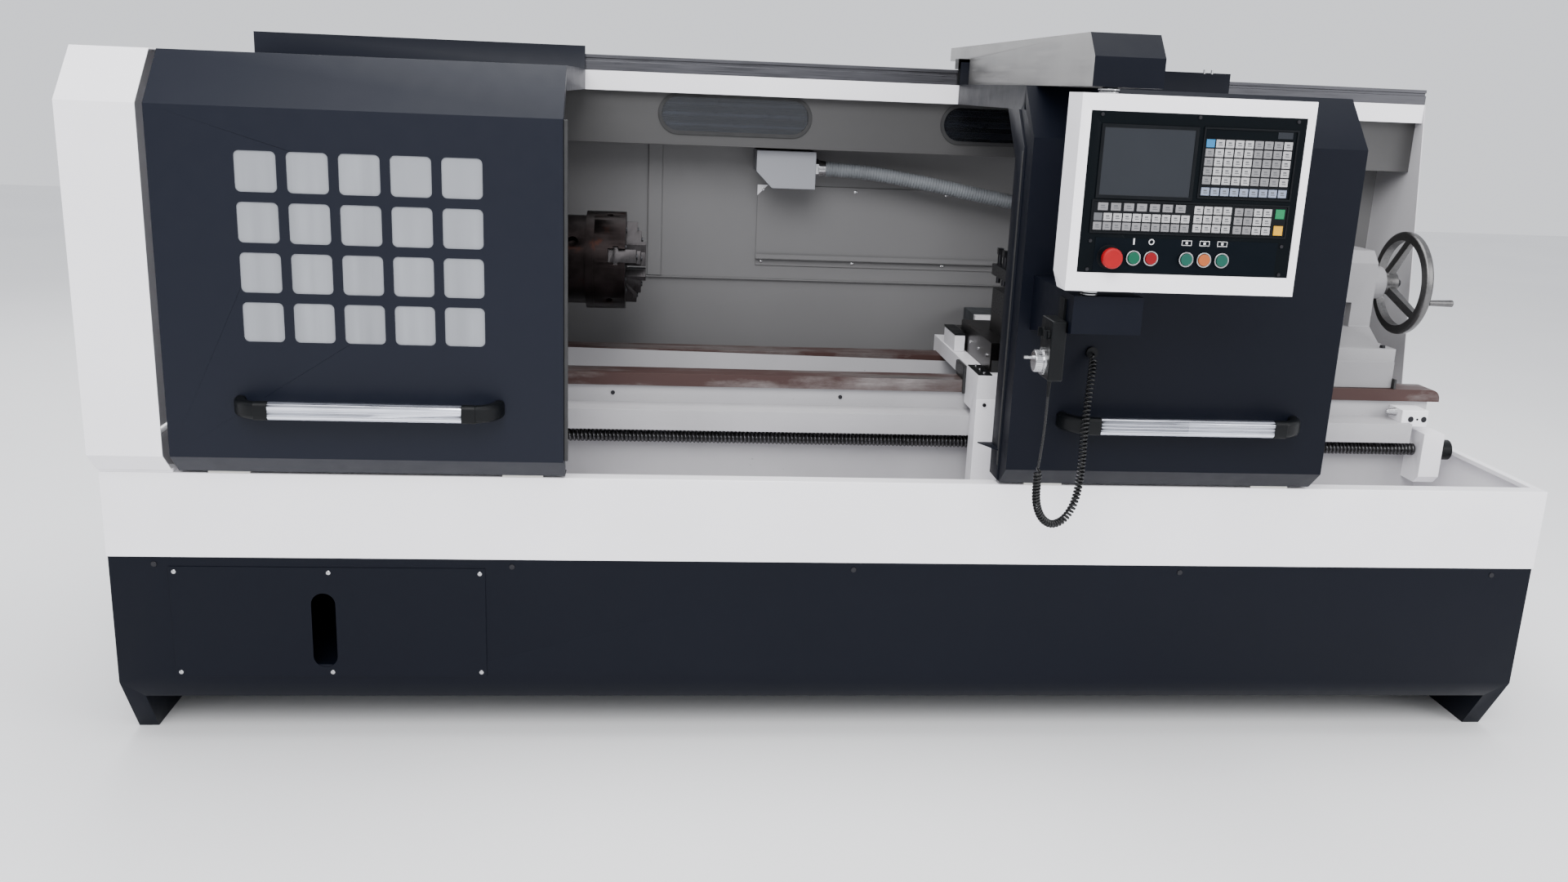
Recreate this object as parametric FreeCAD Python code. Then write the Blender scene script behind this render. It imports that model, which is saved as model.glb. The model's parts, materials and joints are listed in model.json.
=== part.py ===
"""Flat-bed turning lathe with sliding doors, a hanging control pendant and a long chip pan.

Working axes: X along the bed towards the tailstock, Y from the pan's front face towards the back,
Z up from the floor, all in millimetres. The last section centres the machine on the origin in Y.
"""
import FreeCAD, Part
import math
import os

V = FreeCAD.Vector

# ---------------------------------------------------------------- driving dimensions (mm)
# Fits
slide_gap = 0.3            # between faces that slide on each other
bore_gap = 0.06            # radial, shaft in bore
open_gap = 2.0             # between pieces that only pass each other

# Chip pan
pan_length = 3368.0
pan_depth = 980.0
pan_bottom_z = 459.0
pan_height = 197.0
pan_wall = 4.0
pan_rim = 40.0
pan_rim_thick = 12.0

# Base
base_wall = 6.0
base_inset = 3.0
base_fold_z = 153.0
base_lip_z = 106.0
foot_setback = 94.0
leg_width = 45.0
front_hole_radius = 6.5
front_hole_pitch = 790.6
front_hole_first_x = -1583.0
front_hole_z = 441.0
shelf_z = 175.0
shelf_thick = 12.0
belt_slot_depth = 330.0

# Access cover
cover_left_x = -1553.0
cover_length = 700.0
cover_bottom_z = 168.0
cover_height = 268.0
cover_thick = 2.0
cover_screw_inset = 12.0
cover_slot_x = -1218.0
cover_slot_z = 283.0
cover_slot_height = 181.0
cover_slot_width = 54.0
screw_head_radius = 5.5
screw_head_height = 3.0

# Spindle line and bed
axis_y = 586.0
axis_z = 1076.5
bed_left_x = -1425.0
bed_right_x = 1583.0
way_right_x = 1607.0
way_top_z = 820.0
way_thick = 32.0
way_front_y = 386.0
bed_front_y = 400.0
bed_back_y = 772.0
bed_wall = 32.0
way_back_y = 786.0
trough_front_y = 462.0
trough_back_y = 710.0
trough_depth = 150.0
way_end_radius = 25.0
step_front_y = 313.0
step_top_z = 743.0
step_bottom_z = 692.0
step_right_x = 1500.0

# Headstock
head_left_x = -1430.0
head_right_x = -750.0
head_front_y = 376.0
head_width = 420.0
head_top_z = 1290.0
head_wall = 25.0
head_fillet = 18.0

# Spindle, chuck and pulleys
spindle_radius = 60.0
spindle_bore_radius = 26.0
nose_radius = 105.0
nose_length = 25.0
pulley_right_x = -1445.0
pulley_width = 55.0
spindle_pulley_radius = 125.0
plate_radius = 113.0
plate_left_x = -720.0
plate_right_x = -655.0
plate_hole_radius = 14.0
plate_hole_depth = 26.0
chuck_radius = 125.0
chuck_right_x = -555.0
chuck_groove_x = -635.0
chuck_groove = 1.6
chuck_bore_radius = 30.0
key_socket_radius = 8.0
key_socket_depth = 24.0
jaw_angle = 167.5          # of the first jaw, from +Y towards +Z
jaw_width = 34.0
jaw_slot_depth = 43.0
jaw_guide_width = 46.0
jaw_guide_thick = 12.0
jaw_guide_drop = 30.0
jaw_tip_radius = 22.0
jaw_steps = ((112.0, 28.0), (84.0, 39.0), (49.0, 51.0))

# Main motor and belt
motor_y = 620.0
motor_z = 300.0
motor_radius = 108.0
motor_left_x = -1430.0
motor_length = 360.0
motor_foot_width = 200.0
motor_pulley_radius = 80.0
motor_shaft_radius = 19.0
motor_shaft_reach = 70.0
belt_thick = 6.0

# Long feed screw, its supports and motor
screw_y = 360.0
screw_z = 664.0
screw_radius = 16.0
journal_radius = 10.0
screw_left_x = -880.0
screw_right_x = 1540.0
mount_length = 50.0
support_length = 56.0
support_front_y = 318.0
support_top_z = 716.0
support_bottom_z = 600.0
support_cap_radius = 27.0
support_cap_length = 38.0
z_motor_side = 120.0
z_motor_length = 200.0
z_motor_reach = 40.0

# Carriage
carriage_left_x = 320.0
carriage_length = 320.0
saddle_top_z = 861.0
apron_front_y = 250.0
apron_bottom_z = 560.0
apron_thick = 59.0
apron_block_bottom_z = 762.0
wing_back_y = 812.0
wing_bottom_z = 762.0
nut_length = 100.0
nut_height = 84.0
dovetail_width = 190.0
dovetail_undercut = 15.0
dovetail_height = 30.0
cross_screw_radius = 8.0
cross_screw_z = 877.0
cross_channel_width = 40.0
cross_screw_front_y = 290.0
cross_channel_front_y = 275.0
x_motor_side = 90.0
x_motor_length = 130.0
x_motor_reach = 25.0

# Cross slide and four-way turret
turret_x = 475.0
turret_y = 420.0
cross_front_y = 292.0
cross_back_y = 640.0
cross_width = 206.0
cross_top_z = 935.0
cross_nut_length = 60.0
turret_base_side = 150.0
turret_base_height = 50.0
turret_side = 160.0
turret_seat_top_z = 1046.0
turret_flange_bottom_z = 1080.0
turret_flange_top_z = 1108.0
turret_post_side = 92.0
turret_cap_radius = 34.0
turret_cap_height = 16.0
turret_pin_radius = 20.0
tool_bolt_radius = 6.0
tool_bolt_head = 14.0
tool_bolt_top = 42.0
tool_bolt_drop = 20.0

# Tailstock
tail_left_x = 1190.0
tail_base_length = 284.0
tail_base_front_y = 398.0
tail_base_split_z = 891.0
tail_base_top_z = 925.0
tail_body_left_x = 1205.0
tail_body_right_x = 1447.0
tail_body_half = 82.0
tail_body_top_z = 1168.0
tail_waist_z = 968.0
quill_radius = 40.0
quill_nose_x = 1150.0
quill_length = 230.0
quill_screw_setback = 80.0
centre_radius = 22.0
centre_length = 62.0
wheel_boss_radius = 44.0
wheel_boss_right_x = 1500.0
wheel_shaft_radius = 14.0
wheel_rim_radius = 140.0
wheel_rim_width = 24.0
wheel_rim_thick = 24.0
wheel_rim_x = 1567.0
wheel_hub_radius = 31.0
wheel_hub_length = 40.0
wheel_spoke_width = 24.0
wheel_spoke_thick = 13.0
wheel_spoke_angle = 100.0
crank_angle = 196.0
crank_pin_radius = 6.0
crank_radius = 9.5
crank_length = 66.0

# Doors and left end cover
sheet = 3.0
door_front_y = -51.5
door_fold_z = 1447.0
door_roof_y = 50.0
door_roof_z = 1555.0
door_back_y = 745.0
door_strip_z = 1613.0
door_chamfer_z = 706.5
door_bottom_z = 662.0
door_chamfer_depth = 48.0
door_flange = 43.0
door_return = 25.0
skirt_height = 52.0
left_door_left_x = -1511.0
left_door_right_x = -671.0
right_door_left_x = 327.0
right_door_right_x = 1076.0
window_side = 84.0
window_pitch = 104.5
window_columns = 5
window_rows = 4
window_centre_x = -1088.5
window_centre_z = 1161.5
window_corner = 11.0
glazing_thick = 5.0
glazing_margin = 22.0
jamb_return = 58.0
jamb_depth = 71.0
jamb_step = 4.0
jamb_wing = 35.0
handle_z = 827.0
handle_length = 428.0
handle_height = 38.0
handle_depth = 24.0
handle_reach = 58.0
left_handle_x = -1082.0
right_handle_x = 717.0
end_cover_left_x = -1684.0
end_cover_right_x = -1526.0
end_cover_back_y = 960.0

# Door rail, lamp beam and rear guard
rail_front_y = 757.0
rail_depth = 30.0
rail_bottom_z = 1553.0
rail_top_z = 1593.0
rail_left_x = -1500.0
rail_right_x = 1650.0
runner_length = 80.0
runner_inset = 60.0
runner_wall = 8.0
shoe_length = 90.0
beam_bottom_z = 1503.0
lamp_panel_y = 790.0
lamp_panel_bottom_z = 1370.0
lamp_length = 404.0
lamp_height = 97.0
lamp_z = 1449.0
lamp_left_x = -473.0
lamp_pitch = 770.0
guard_y = 960.0
guard_end_front_y = 640.0

# Wall box and conduit
wall_box_left_x = -207.0
wall_box_right_x = -42.5
wall_box_bottom_z = 1257.0
wall_box_top_z = 1360.0
wall_box_depth = 140.0
wall_box_chamfer = 45.0
conduit_radius = 21.0
conduit_route = ((-42.5, 876.0, 1312.0), (70.0, 876.0, 1312.0), (270.0, 868.0, 1284.0),
                 (500.0, 864.0, 1242.0), (740.0, 874.0, 1206.0), (940.0, 916.0, 1192.0),
                 (1070.0, 972.0, 1190.0))

# Electrical cabinet
cabinet_left_x = -1600.0
cabinet_right_x = -820.0
cabinet_depth = 210.0
cabinet_bottom_z = 300.0
cabinet_top_z = 1500.0
cabinet_wall = 2.5
cabinet_door_thick = 20.0
cabinet_door_gap = 0.5
hinge_knuckle = 50.0
cabinet_handle_depth = 14.0
hinge_pin_radius = 5.0

# Pendant arm, lower bracket and control pendant
arm_left_x = 350.0
arm_right_x = 490.0
arm_front_y = -350.0
arm_back_y = 1000.0
arm_top_z = 1656.0
arm_chamfer_depth = 42.0
arm_chamfer_height = 45.0
arm_clear_z = 1620.0
bracket_left_x = 354.0
bracket_right_x = 497.0
bracket_top_z = 1152.0
bracket_front_z = 1076.0
bracket_back_z = 1031.0
pendant_left_x = 324.5
pendant_right_x = 788.0
pendant_bottom_z = 1167.0
pendant_top_z = 1543.0
pendant_front_y = -380.0
pendant_depth = 90.0
pendant_chamfer_y = 35.0
pendant_chamfer_z = 28.0
pendant_wall = 2.5
pivot_x = 390.0
pivot_y = -330.0
pivot_radius = 8.0
panel_margin_x = 20.5
panel_bottom_z = 1204.0
panel_top_z = 1511.0
panel_thick = 3.0
screen_left_x = 371.0
screen_right_x = 554.0
screen_bottom_z = 1354.0
screen_top_z = 1481.0
screen_recess = 1.2
button_z = 1235.0
button_xs = (452.8, 487.9, 559.1, 595.1, 631.0)
button_radius = 11.3
button_front = 11.0
button_back = 12.0
bezel_radius = 14.5
bezel_height = 7.0
stop_x = 404.9
stop_head_radius = 20.0
stop_head_height = 13.0
stop_front = 31.0

# Hand pulse unit, its knobs and curly lead
unit_left_x = 322.0
unit_front_y = -330.0
unit_bottom_z = 973.0
unit_thick = 31.0
unit_width = 80.0
unit_height = 124.0
unit_fillet = 4.0
hanger_height = 42.0
hanger_width = 34.0
dial_y = -290.0
dial_z = 1008.0
dial_radius = 29.0
dial_thick = 5.0
knob_radius = 22.0
knob_height = 17.0
stub_radius = 3.5
stub_length = 20.0
stub_offset = 14.0
selector_z = 1066.0
selector_ys = (-312.0, -272.0)
selector_radius = 9.5
selector_height = 12.0
relief_radius = 5.0
relief_length = 40.0
lead_radius = 2.75
curl_radius = 9.5
lead_route = ((337.5, -290.0, 933.0), (337.6, -289.5, 905.0), (339.5, -282.0, 872.0),
              (341.0, -270.0, 824.0), (341.0, -258.0, 776.0))
curl_route = ((341.0, -258.0, 776.0), (343.0, -247.0, 731.0), (350.0, -232.0, 682.0),
              (371.0, -214.0, 642.0), (401.0, -196.0, 622.0), (434.0, -180.0, 631.0),
              (457.0, -167.0, 664.0), (467.0, -157.0, 712.0), (470.0, -151.0, 766.0),
              (469.0, -149.0, 824.0), (473.0, -140.0, 876.0), (483.0, -118.0, 928.0),
              (494.0, -88.0, 968.0), (499.0, -65.5, 983.0))
grommet_radius = 13.0
grommet_length = 8.5


# ---------------------------------------------------------------- plain shapes
def block(x0, x1, y0, y1, z0, z1):
    """Box between two corners."""
    return Part.makeBox(x1 - x0, y1 - y0, z1 - z0, V(x0, y0, z0))


def rod(start, direction, radius, length):
    """Cylinder from a point along a direction."""
    return Part.makeCylinder(radius, length, V(*start), V(*direction))


def rod_x(x0, x1, y, z, radius):
    return rod((x0, y, z), (1, 0, 0), radius, x1 - x0)


def rod_y(y0, y1, x, z, radius):
    return rod((x, y0, z), (0, 1, 0), radius, y1 - y0)


def rod_z(z0, z1, x, y, radius):
    return rod((x, y, z0), (0, 0, 1), radius, z1 - z0)


def prism_x(points, x0, x1):
    """Outline of (y, z) points drawn along X."""
    outline = [V(x0, y, z) for y, z in points]
    face = Part.Face(Part.makePolygon(outline + outline[:1]))
    return face.extrude(V(x1 - x0, 0, 0))


def prism_y(points, y0, y1):
    """Outline of (x, z) points drawn along Y."""
    outline = [V(x, y0, z) for x, z in points]
    face = Part.Face(Part.makePolygon(outline + outline[:1]))
    return face.extrude(V(0, y1 - y0, 0))


def prism_z(points, z0, z1):
    """Outline of (x, y) points drawn along Z."""
    outline = [V(x, y, z0) for x, y in points]
    face = Part.Face(Part.makePolygon(outline + outline[:1]))
    return face.extrude(V(0, 0, z1 - z0))


def join(*shapes):
    """One solid from pieces that meet."""
    whole = shapes[0].fuse(list(shapes[1:])) if len(shapes) > 1 else shapes[0]
    return whole.removeSplitter()


def group(*shapes):
    """Separate solids kept in one node."""
    return Part.makeCompound(list(shapes))


def offset_path(points, distance):
    """Open (y, z) path moved to its right-hand side by a distance, corners mitred."""
    def shifted(a, b):
        length = math.hypot(b[0] - a[0], b[1] - a[1])
        dy = (b[1] - a[1]) / length * distance
        dz = -(b[0] - a[0]) / length * distance
        return (a[0] + dy, a[1] + dz), (b[0] + dy, b[1] + dz)

    sides = [shifted(a, b) for a, b in zip(points, points[1:])]
    moved = [sides[0][0]]
    for (a, b), (c, d) in zip(sides, sides[1:]):
        u = (b[0] - a[0], b[1] - a[1])
        w = (d[0] - c[0], d[1] - c[1])
        cross = u[0] * w[1] - u[1] * w[0]
        t = ((c[0] - a[0]) * w[1] - (c[1] - a[1]) * w[0]) / cross
        moved.append((a[0] + t * u[0], a[1] + t * u[1]))
    moved.append(sides[-1][1])
    return moved


def folded(points, depth, x0, x1):
    """Sheet folded along an open (y, z) path, as thick as depth on its inner side."""
    return prism_x(points + offset_path(points, depth)[::-1], x0, x1)


def stadium_y(x, z, width, height, y0, y1):
    """Slot with round ends through Y; the longer of width and height has the round ends."""
    if width > height:
        radius = height / 2
        ends = [(x - width / 2 + radius, z), (x + width / 2 - radius, z)]
        middle = block(ends[0][0], ends[1][0], y0, y1, z - radius, z + radius)
    else:
        radius = width / 2
        ends = [(x, z - height / 2 + radius), (x, z + height / 2 - radius)]
        middle = block(x - radius, x + radius, y0, y1, ends[0][1], ends[1][1])
    return join(middle, *[rod_y(y0, y1, ex, ez, radius) for ex, ez in ends])


def rounded_window(x, z, side, corner, y0, y1):
    """Square hole with round corners through Y."""
    half = side / 2
    hole = block(x - half, x + half, y0, y1, z - half, z + half)
    edges = [e for e in hole.Edges if abs(e.tangentAt(e.FirstParameter).y) > 0.99]
    return hole.makeFillet(corner, edges)


def polar(radius, degrees):
    """(y, z) offset at an angle from +Y towards +Z."""
    angle = math.radians(degrees)
    return radius * math.cos(angle), radius * math.sin(angle)


def turned_about_axis(shape, degrees):
    """Copy turned about the spindle axis, from +Y towards +Z."""
    copy = shape.copy()
    copy.rotate(V(0, axis_y, axis_z), V(1, 0, 0), degrees)
    return copy


def corner_radii(points):
    """Radius of the arc at each inner point of a cord's route."""
    radii = []
    for a, b, c in zip(points, points[1:], points[2:]):
        first, second = V(*b) - V(*a), V(*c) - V(*b)
        turn = first.getAngle(second)
        radii.append(0.45 * min(first.Length, second.Length) / math.tan(turn / 2))
    return radii


def cord_tube(name, points, radius):
    """Round tube along straight runs joined by tangent arcs."""
    radii = corner_radii(points)
    edges = []
    start = V(*points[0])
    length = 0.0
    for index, bend in enumerate(radii):
        a, b, c = (V(*points[index + k]) for k in range(3))
        into, out = (b - a).normalize(), (c - b).normalize()
        turn = into.getAngle(out)
        reach = bend * math.tan(turn / 2)
        first, last = b - into * reach, b + out * reach
        towards = (out - into).normalize()
        centre = b + towards * (bend / math.cos(turn / 2))
        middle = centre - towards * bend
        edges.append(Part.LineSegment(start, first).toShape())
        edges.append(Part.Arc(first, middle, last).toShape())
        length += (first - start).Length + bend * turn
        start = last
    end = V(*points[-1])
    edges.append(Part.LineSegment(start, end).toShape())
    length += (end - start).Length
    path = Part.Wire(edges)
    direction = V(*points[1]) - V(*points[0])
    section = Part.Wire(Part.makeCircle(radius, V(*points[0]), direction))
    tube = path.makePipeShell([section], True, False)
    ratio = tube.Volume / (math.pi * radius ** 2 * length)
    rounded = [round(value) for value in radii]
    print(f"{name}: length {length:.0f} mm, radii {rounded}, volume ratio {ratio:.4f}")
    return tube


# ---------------------------------------------------------------- base, pan and bed
pan_left_x, pan_right_x = -pan_length / 2, pan_length / 2
pan_floor_z = pan_bottom_z + pan_wall
pan_top_z = pan_bottom_z + pan_height
base_left_x, base_right_x = pan_left_x + base_inset, pan_right_x - base_inset
base_front_y, base_back_y = base_inset, pan_depth - base_inset
lip_slope = (foot_setback - base_inset) / base_fold_z
belt_slot_x0 = pulley_right_x - pulley_width - 10.0
belt_slot_x1 = pulley_right_x + 10.0
belt_slot_y0 = axis_y - belt_slot_depth / 2


def belt_slot(z0, z1):
    """Clearance for the belt where it passes the pan floor and the base top."""
    return block(belt_slot_x0, belt_slot_x1, belt_slot_y0, belt_slot_y0 + belt_slot_depth, z0, z1)


def base_frame():
    lip_y = base_front_y + (base_fold_z - base_lip_z) * lip_slope
    front = [(lip_y, base_lip_z), (base_front_y, base_fold_z), (base_front_y, pan_bottom_z)]
    wall = folded(front, base_wall, base_left_x, base_right_x)
    back = wall.mirror(V(0, pan_depth / 2, 0), V(0, 1, 0))
    top = block(base_left_x, base_right_x, base_front_y, base_back_y,
                pan_bottom_z - base_wall, pan_bottom_z)
    foot_y = base_front_y + base_fold_z * lip_slope
    end_outline = [(base_front_y, pan_bottom_z), (base_front_y, base_fold_z), (foot_y, 0.0),
                   (pan_depth - foot_y, 0.0), (base_back_y, base_fold_z), (base_back_y, pan_bottom_z)]
    leg_outline = [(base_front_y, base_fold_z), (foot_y, 0.0),
                   (pan_depth - foot_y, 0.0), (base_back_y, base_fold_z)]
    parts = [wall, back, top]
    for x0, side in ((base_left_x, 1), (base_right_x, -1)):
        parts.append(prism_x(end_outline, x0, x0 + side * base_wall))
        parts.append(prism_x(leg_outline, x0, x0 + side * leg_width))
    shelf_inset = base_wall
    parts.append(block(base_left_x, cover_left_x + cover_length + 60.0, base_front_y + shelf_inset,
                       base_back_y - shelf_inset, shelf_z, shelf_z + shelf_thick))
    frame = join(*parts)
    opening = block(cover_left_x + 30.0, cover_left_x + cover_length - 30.0, base_front_y - 1.0,
                    base_front_y + base_wall + 1.0, cover_bottom_z + 30.0,
                    cover_bottom_z + cover_height - 30.0)
    cuts = [opening, belt_slot(pan_bottom_z - base_wall - 1.0, pan_bottom_z + 1.0)]
    for index in range(5):
        x = front_hole_first_x + index * front_hole_pitch
        cuts.append(rod_y(base_front_y - 1.0, base_front_y + base_wall + 1.0, x, front_hole_z,
                          front_hole_radius))
    return frame.cut(cuts)


def access_cover():
    plate = block(cover_left_x, cover_left_x + cover_length, base_front_y - cover_thick, base_front_y,
                  cover_bottom_z, cover_bottom_z + cover_height)
    slot = stadium_y(cover_slot_x, cover_slot_z, cover_slot_width, cover_slot_height,
                     base_front_y - cover_thick - 1.0, base_front_y + 1.0)
    return plate.cut(slot)


def cover_screw_places():
    """(x, z) of the six screws of the access cover."""
    xs = (cover_left_x + cover_screw_inset, cover_left_x + cover_length / 2,
          cover_left_x + cover_length - cover_screw_inset)
    zs = (cover_bottom_z + cover_screw_inset, cover_bottom_z + cover_height - cover_screw_inset)
    return [(x, z) for x in xs for z in zs]


def panel_screws():
    """Cover screws, and the plug screws along the front of the bed."""
    face_y = base_front_y - cover_thick
    heads = [rod_y(face_y - screw_head_height, face_y, x, z, screw_head_radius)
             for x, z in cover_screw_places()]
    plug_z = (way_top_z - way_thick + step_top_z) / 2
    for index in range(5):
        x = -1160.0 + index * 580.0
        heads.append(rod_y(bed_front_y - screw_head_height, bed_front_y, x, plug_z, screw_head_radius))
    return group(*heads)


def chip_pan():
    outer = block(pan_left_x, pan_right_x, 0.0, pan_depth, pan_bottom_z, pan_top_z)
    inner = block(pan_left_x + pan_wall, pan_right_x - pan_wall, pan_wall, pan_depth - pan_wall,
                  pan_floor_z, pan_top_z - pan_rim_thick)
    mouth = block(pan_left_x + pan_rim / 2, pan_right_x - pan_rim / 2, pan_rim, pan_depth - pan_rim,
                  pan_floor_z, pan_top_z + 1.0)
    return outer.cut([inner, mouth, belt_slot(pan_bottom_z - 1.0, pan_floor_z + 1.0)])


def bed():
    way_bottom_z = way_top_z - way_thick
    casting = block(bed_left_x, bed_right_x, bed_front_y, bed_back_y, pan_floor_z, way_bottom_z)
    ways = block(bed_left_x, way_right_x, way_front_y, way_back_y, way_bottom_z, way_top_z)
    corners = [e for e in ways.Edges
               if abs(e.CenterOfMass.x - way_right_x) < 0.1 and abs(e.CenterOfMass.z - way_top_z) < 0.1]
    ways = ways.makeFillet(way_end_radius, corners)
    step = block(bed_left_x, step_right_x, step_front_y, bed_front_y, step_bottom_z, step_top_z)
    trough = block(head_right_x, way_right_x + 1.0, trough_front_y, trough_back_y,
                   way_top_z - trough_depth, way_top_z + 1.0)
    core = block(bed_left_x + bed_wall, bed_right_x - bed_wall, bed_front_y + bed_wall,
                 bed_back_y - bed_wall, pan_floor_z + bed_wall, way_top_z - trough_depth - bed_wall)
    return join(casting, ways, step).cut([trough, core])


# ---------------------------------------------------------------- headstock and drive
def headstock():
    y1 = head_front_y + head_width
    shell = block(head_left_x, head_right_x, head_front_y, y1, way_top_z, head_top_z)
    upper = [e for e in shell.Edges if e.CenterOfMass.z > head_top_z - 0.1]
    shell = shell.makeFillet(head_fillet, upper)
    inside = block(head_left_x + head_wall, head_right_x - head_wall * 2, head_front_y + head_wall,
                   y1 - head_wall, way_top_z + head_wall, head_top_z - head_wall)
    bore = rod_x(head_left_x - 1.0, head_right_x + 1.0, axis_y, axis_z, spindle_radius + bore_gap)
    return shell.cut([inside, bore])


def spindle():
    pulley_left_x = pulley_right_x - pulley_width
    shaft = rod_x(pulley_left_x - 12.0, plate_left_x - nose_length, axis_y, axis_z, spindle_radius)
    nose = rod_x(plate_left_x - nose_length, plate_left_x, axis_y, axis_z, nose_radius)
    pulley = rod_x(pulley_left_x, pulley_right_x, axis_y, axis_z, spindle_pulley_radius)
    bore = rod_x(pulley_left_x - 20.0, plate_left_x + 1.0, axis_y, axis_z, spindle_bore_radius)
    return join(shaft, nose, pulley).cut(bore)


def chuck_plate():
    disc = rod_x(plate_left_x, plate_right_x, axis_y, axis_z, plate_radius)
    bore = rod_x(plate_left_x - 1.0, plate_right_x + 1.0, axis_y, axis_z, chuck_bore_radius)
    holes = []
    for index in range(3):
        hole = rod((plate_left_x + 32.0, axis_y, axis_z + plate_radius - plate_hole_depth), (0, 0, 1),
                   plate_hole_radius, plate_hole_depth + 5.0)
        holes.append(turned_about_axis(hole, 60.0 + index * 120.0))
    return disc.cut([bore] + holes)


def jaw_slot(gap):
    """Jaw and its side guides inside the chuck, pointing to +Y, grown by a gap."""
    bottom_x = chuck_right_x - jaw_slot_depth - gap
    guide_x = chuck_right_x - jaw_guide_drop
    stem = block(bottom_x, chuck_right_x + 1.0, axis_y + jaw_tip_radius - 12.0, axis_y + chuck_radius + 10.0,
                 axis_z - jaw_width / 2 - gap, axis_z + jaw_width / 2 + gap)
    guide = block(guide_x - gap, guide_x + jaw_guide_thick + gap, axis_y + jaw_tip_radius - 12.0,
                  axis_y + chuck_radius + 10.0, axis_z - jaw_guide_width / 2 - gap,
                  axis_z + jaw_guide_width / 2 + gap)
    return join(stem, guide)


def chuck_body():
    disc = rod_x(plate_right_x, chuck_right_x, axis_y, axis_z, chuck_radius)
    cuts = [rod_x(plate_right_x - 1.0, chuck_right_x + 1.0, axis_y, axis_z, chuck_bore_radius)]
    ring = rod_x(chuck_groove_x, chuck_groove_x + chuck_groove, axis_y, axis_z, chuck_radius + 5.0)
    cuts.append(ring.cut(rod_x(chuck_groove_x - 1.0, chuck_groove_x + 5.0, axis_y, axis_z,
                               chuck_radius - chuck_groove)))
    for index in range(3):
        cuts.append(turned_about_axis(jaw_slot(slide_gap), jaw_angle + index * 120.0))
        socket = rod(((chuck_groove_x + chuck_right_x) / 2, axis_y + chuck_radius - key_socket_depth,
                      axis_z), (0, 1, 0), key_socket_radius, key_socket_depth + 5.0)
        cuts.append(turned_about_axis(socket, jaw_angle - 60.0 + index * 120.0))
    return disc.cut(cuts)


def chuck_jaw(index):
    """Stepped jaw with side guides, in its slot."""
    outer_radius = jaw_steps[0][0]
    y0 = axis_y + jaw_tip_radius
    y1 = axis_y + outer_radius
    bottom_x = chuck_right_x - jaw_slot_depth
    guide_x = chuck_right_x - jaw_guide_drop
    z0, z1 = axis_z - jaw_width / 2, axis_z + jaw_width / 2
    parts = [block(bottom_x, chuck_right_x + jaw_steps[0][1], y0, y1, z0, z1)]
    for radius, rise in jaw_steps[1:]:
        parts.append(block(bottom_x, chuck_right_x + rise, y0, axis_y + radius, z0, z1))
    parts.append(block(guide_x, guide_x + jaw_guide_thick, y0 + 12.0, y1,
                       axis_z - jaw_guide_width / 2, axis_z + jaw_guide_width / 2))
    jaw = join(*parts)
    tip = [(y0 - 1.0, z0 - 1.0), (y0 + jaw_width / 2, z0 - 1.0), (y0 - 1.0, axis_z - 5.0)]
    lower = prism_x(tip, bottom_x - 1.0, chuck_right_x + 60.0)
    upper = lower.mirror(V(0, 0, axis_z), V(0, 0, 1))
    return turned_about_axis(jaw.cut([lower, upper]), jaw_angle + index * 120.0)


def main_motor():
    right_x = motor_left_x + motor_length
    shell = rod_x(motor_left_x + 25.0, right_x - 60.0, motor_y, motor_z, motor_radius)
    flange = rod_x(motor_left_x, motor_left_x + 25.0, motor_y, motor_z, motor_radius + 4.0)
    cowl = rod_x(right_x - 60.0, right_x, motor_y, motor_z, motor_radius - 4.0)
    foot = block(motor_left_x + 60.0, right_x - 90.0, motor_y - motor_foot_width / 2,
                 motor_y + motor_foot_width / 2, shelf_z + shelf_thick, motor_z - motor_radius + 40.0)
    bore = rod_x(motor_left_x - 1.0, motor_left_x + motor_shaft_reach + 1.0, motor_y, motor_z,
                 motor_shaft_radius + bore_gap)
    return join(shell, flange, cowl, foot).cut(bore)


def motor_pulley():
    left_x = pulley_right_x - pulley_width
    wheel = rod_x(left_x, pulley_right_x, motor_y, motor_z, motor_pulley_radius)
    shaft = rod_x(left_x - 8.0, motor_left_x + motor_shaft_reach, motor_y, motor_z, motor_shaft_radius)
    return join(wheel, shaft)


def belt_loop(extra, x0, x1):
    """Solid between two pulleys' outer tangents, each radius grown by extra."""
    big, small = spindle_pulley_radius + extra, motor_pulley_radius + extra
    dy, dz = motor_y - axis_y, motor_z - axis_z
    distance = math.hypot(dy, dz)
    heading = math.atan2(dz, dy)
    spread = math.acos((big - small) / distance)
    outline = []
    for side in (1, -1):
        angle = heading + side * spread
        outline.append((axis_y + big * math.cos(angle), axis_z + big * math.sin(angle)))
        outline.append((motor_y + small * math.cos(angle), motor_z + small * math.sin(angle)))
    web = prism_x([outline[0], outline[1], outline[3], outline[2]], x0, x1)
    return join(web, rod_x(x0, x1, axis_y, axis_z, big), rod_x(x0, x1, motor_y, motor_z, small))


def drive_belt():
    x0, x1 = pulley_right_x - pulley_width + 3.0, pulley_right_x - 3.0
    outer = belt_loop(slide_gap + belt_thick, x0, x1)
    return outer.cut(belt_loop(slide_gap, x0 - 1.0, x1 + 1.0))


# ---------------------------------------------------------------- long feed
support_x0 = screw_right_x + 1.0
support_x1 = support_x0 + support_length
mount_x0 = screw_left_x - mount_length


def z_ball_screw():
    body = rod_x(screw_left_x, screw_right_x, screw_y, screw_z, screw_radius)
    left = rod_x(mount_x0 - z_motor_reach, screw_left_x, screw_y, screw_z, journal_radius)
    right = rod_x(screw_right_x, support_x1 - 4.0, screw_y, screw_z, journal_radius)
    return join(body, left, right)


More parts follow.
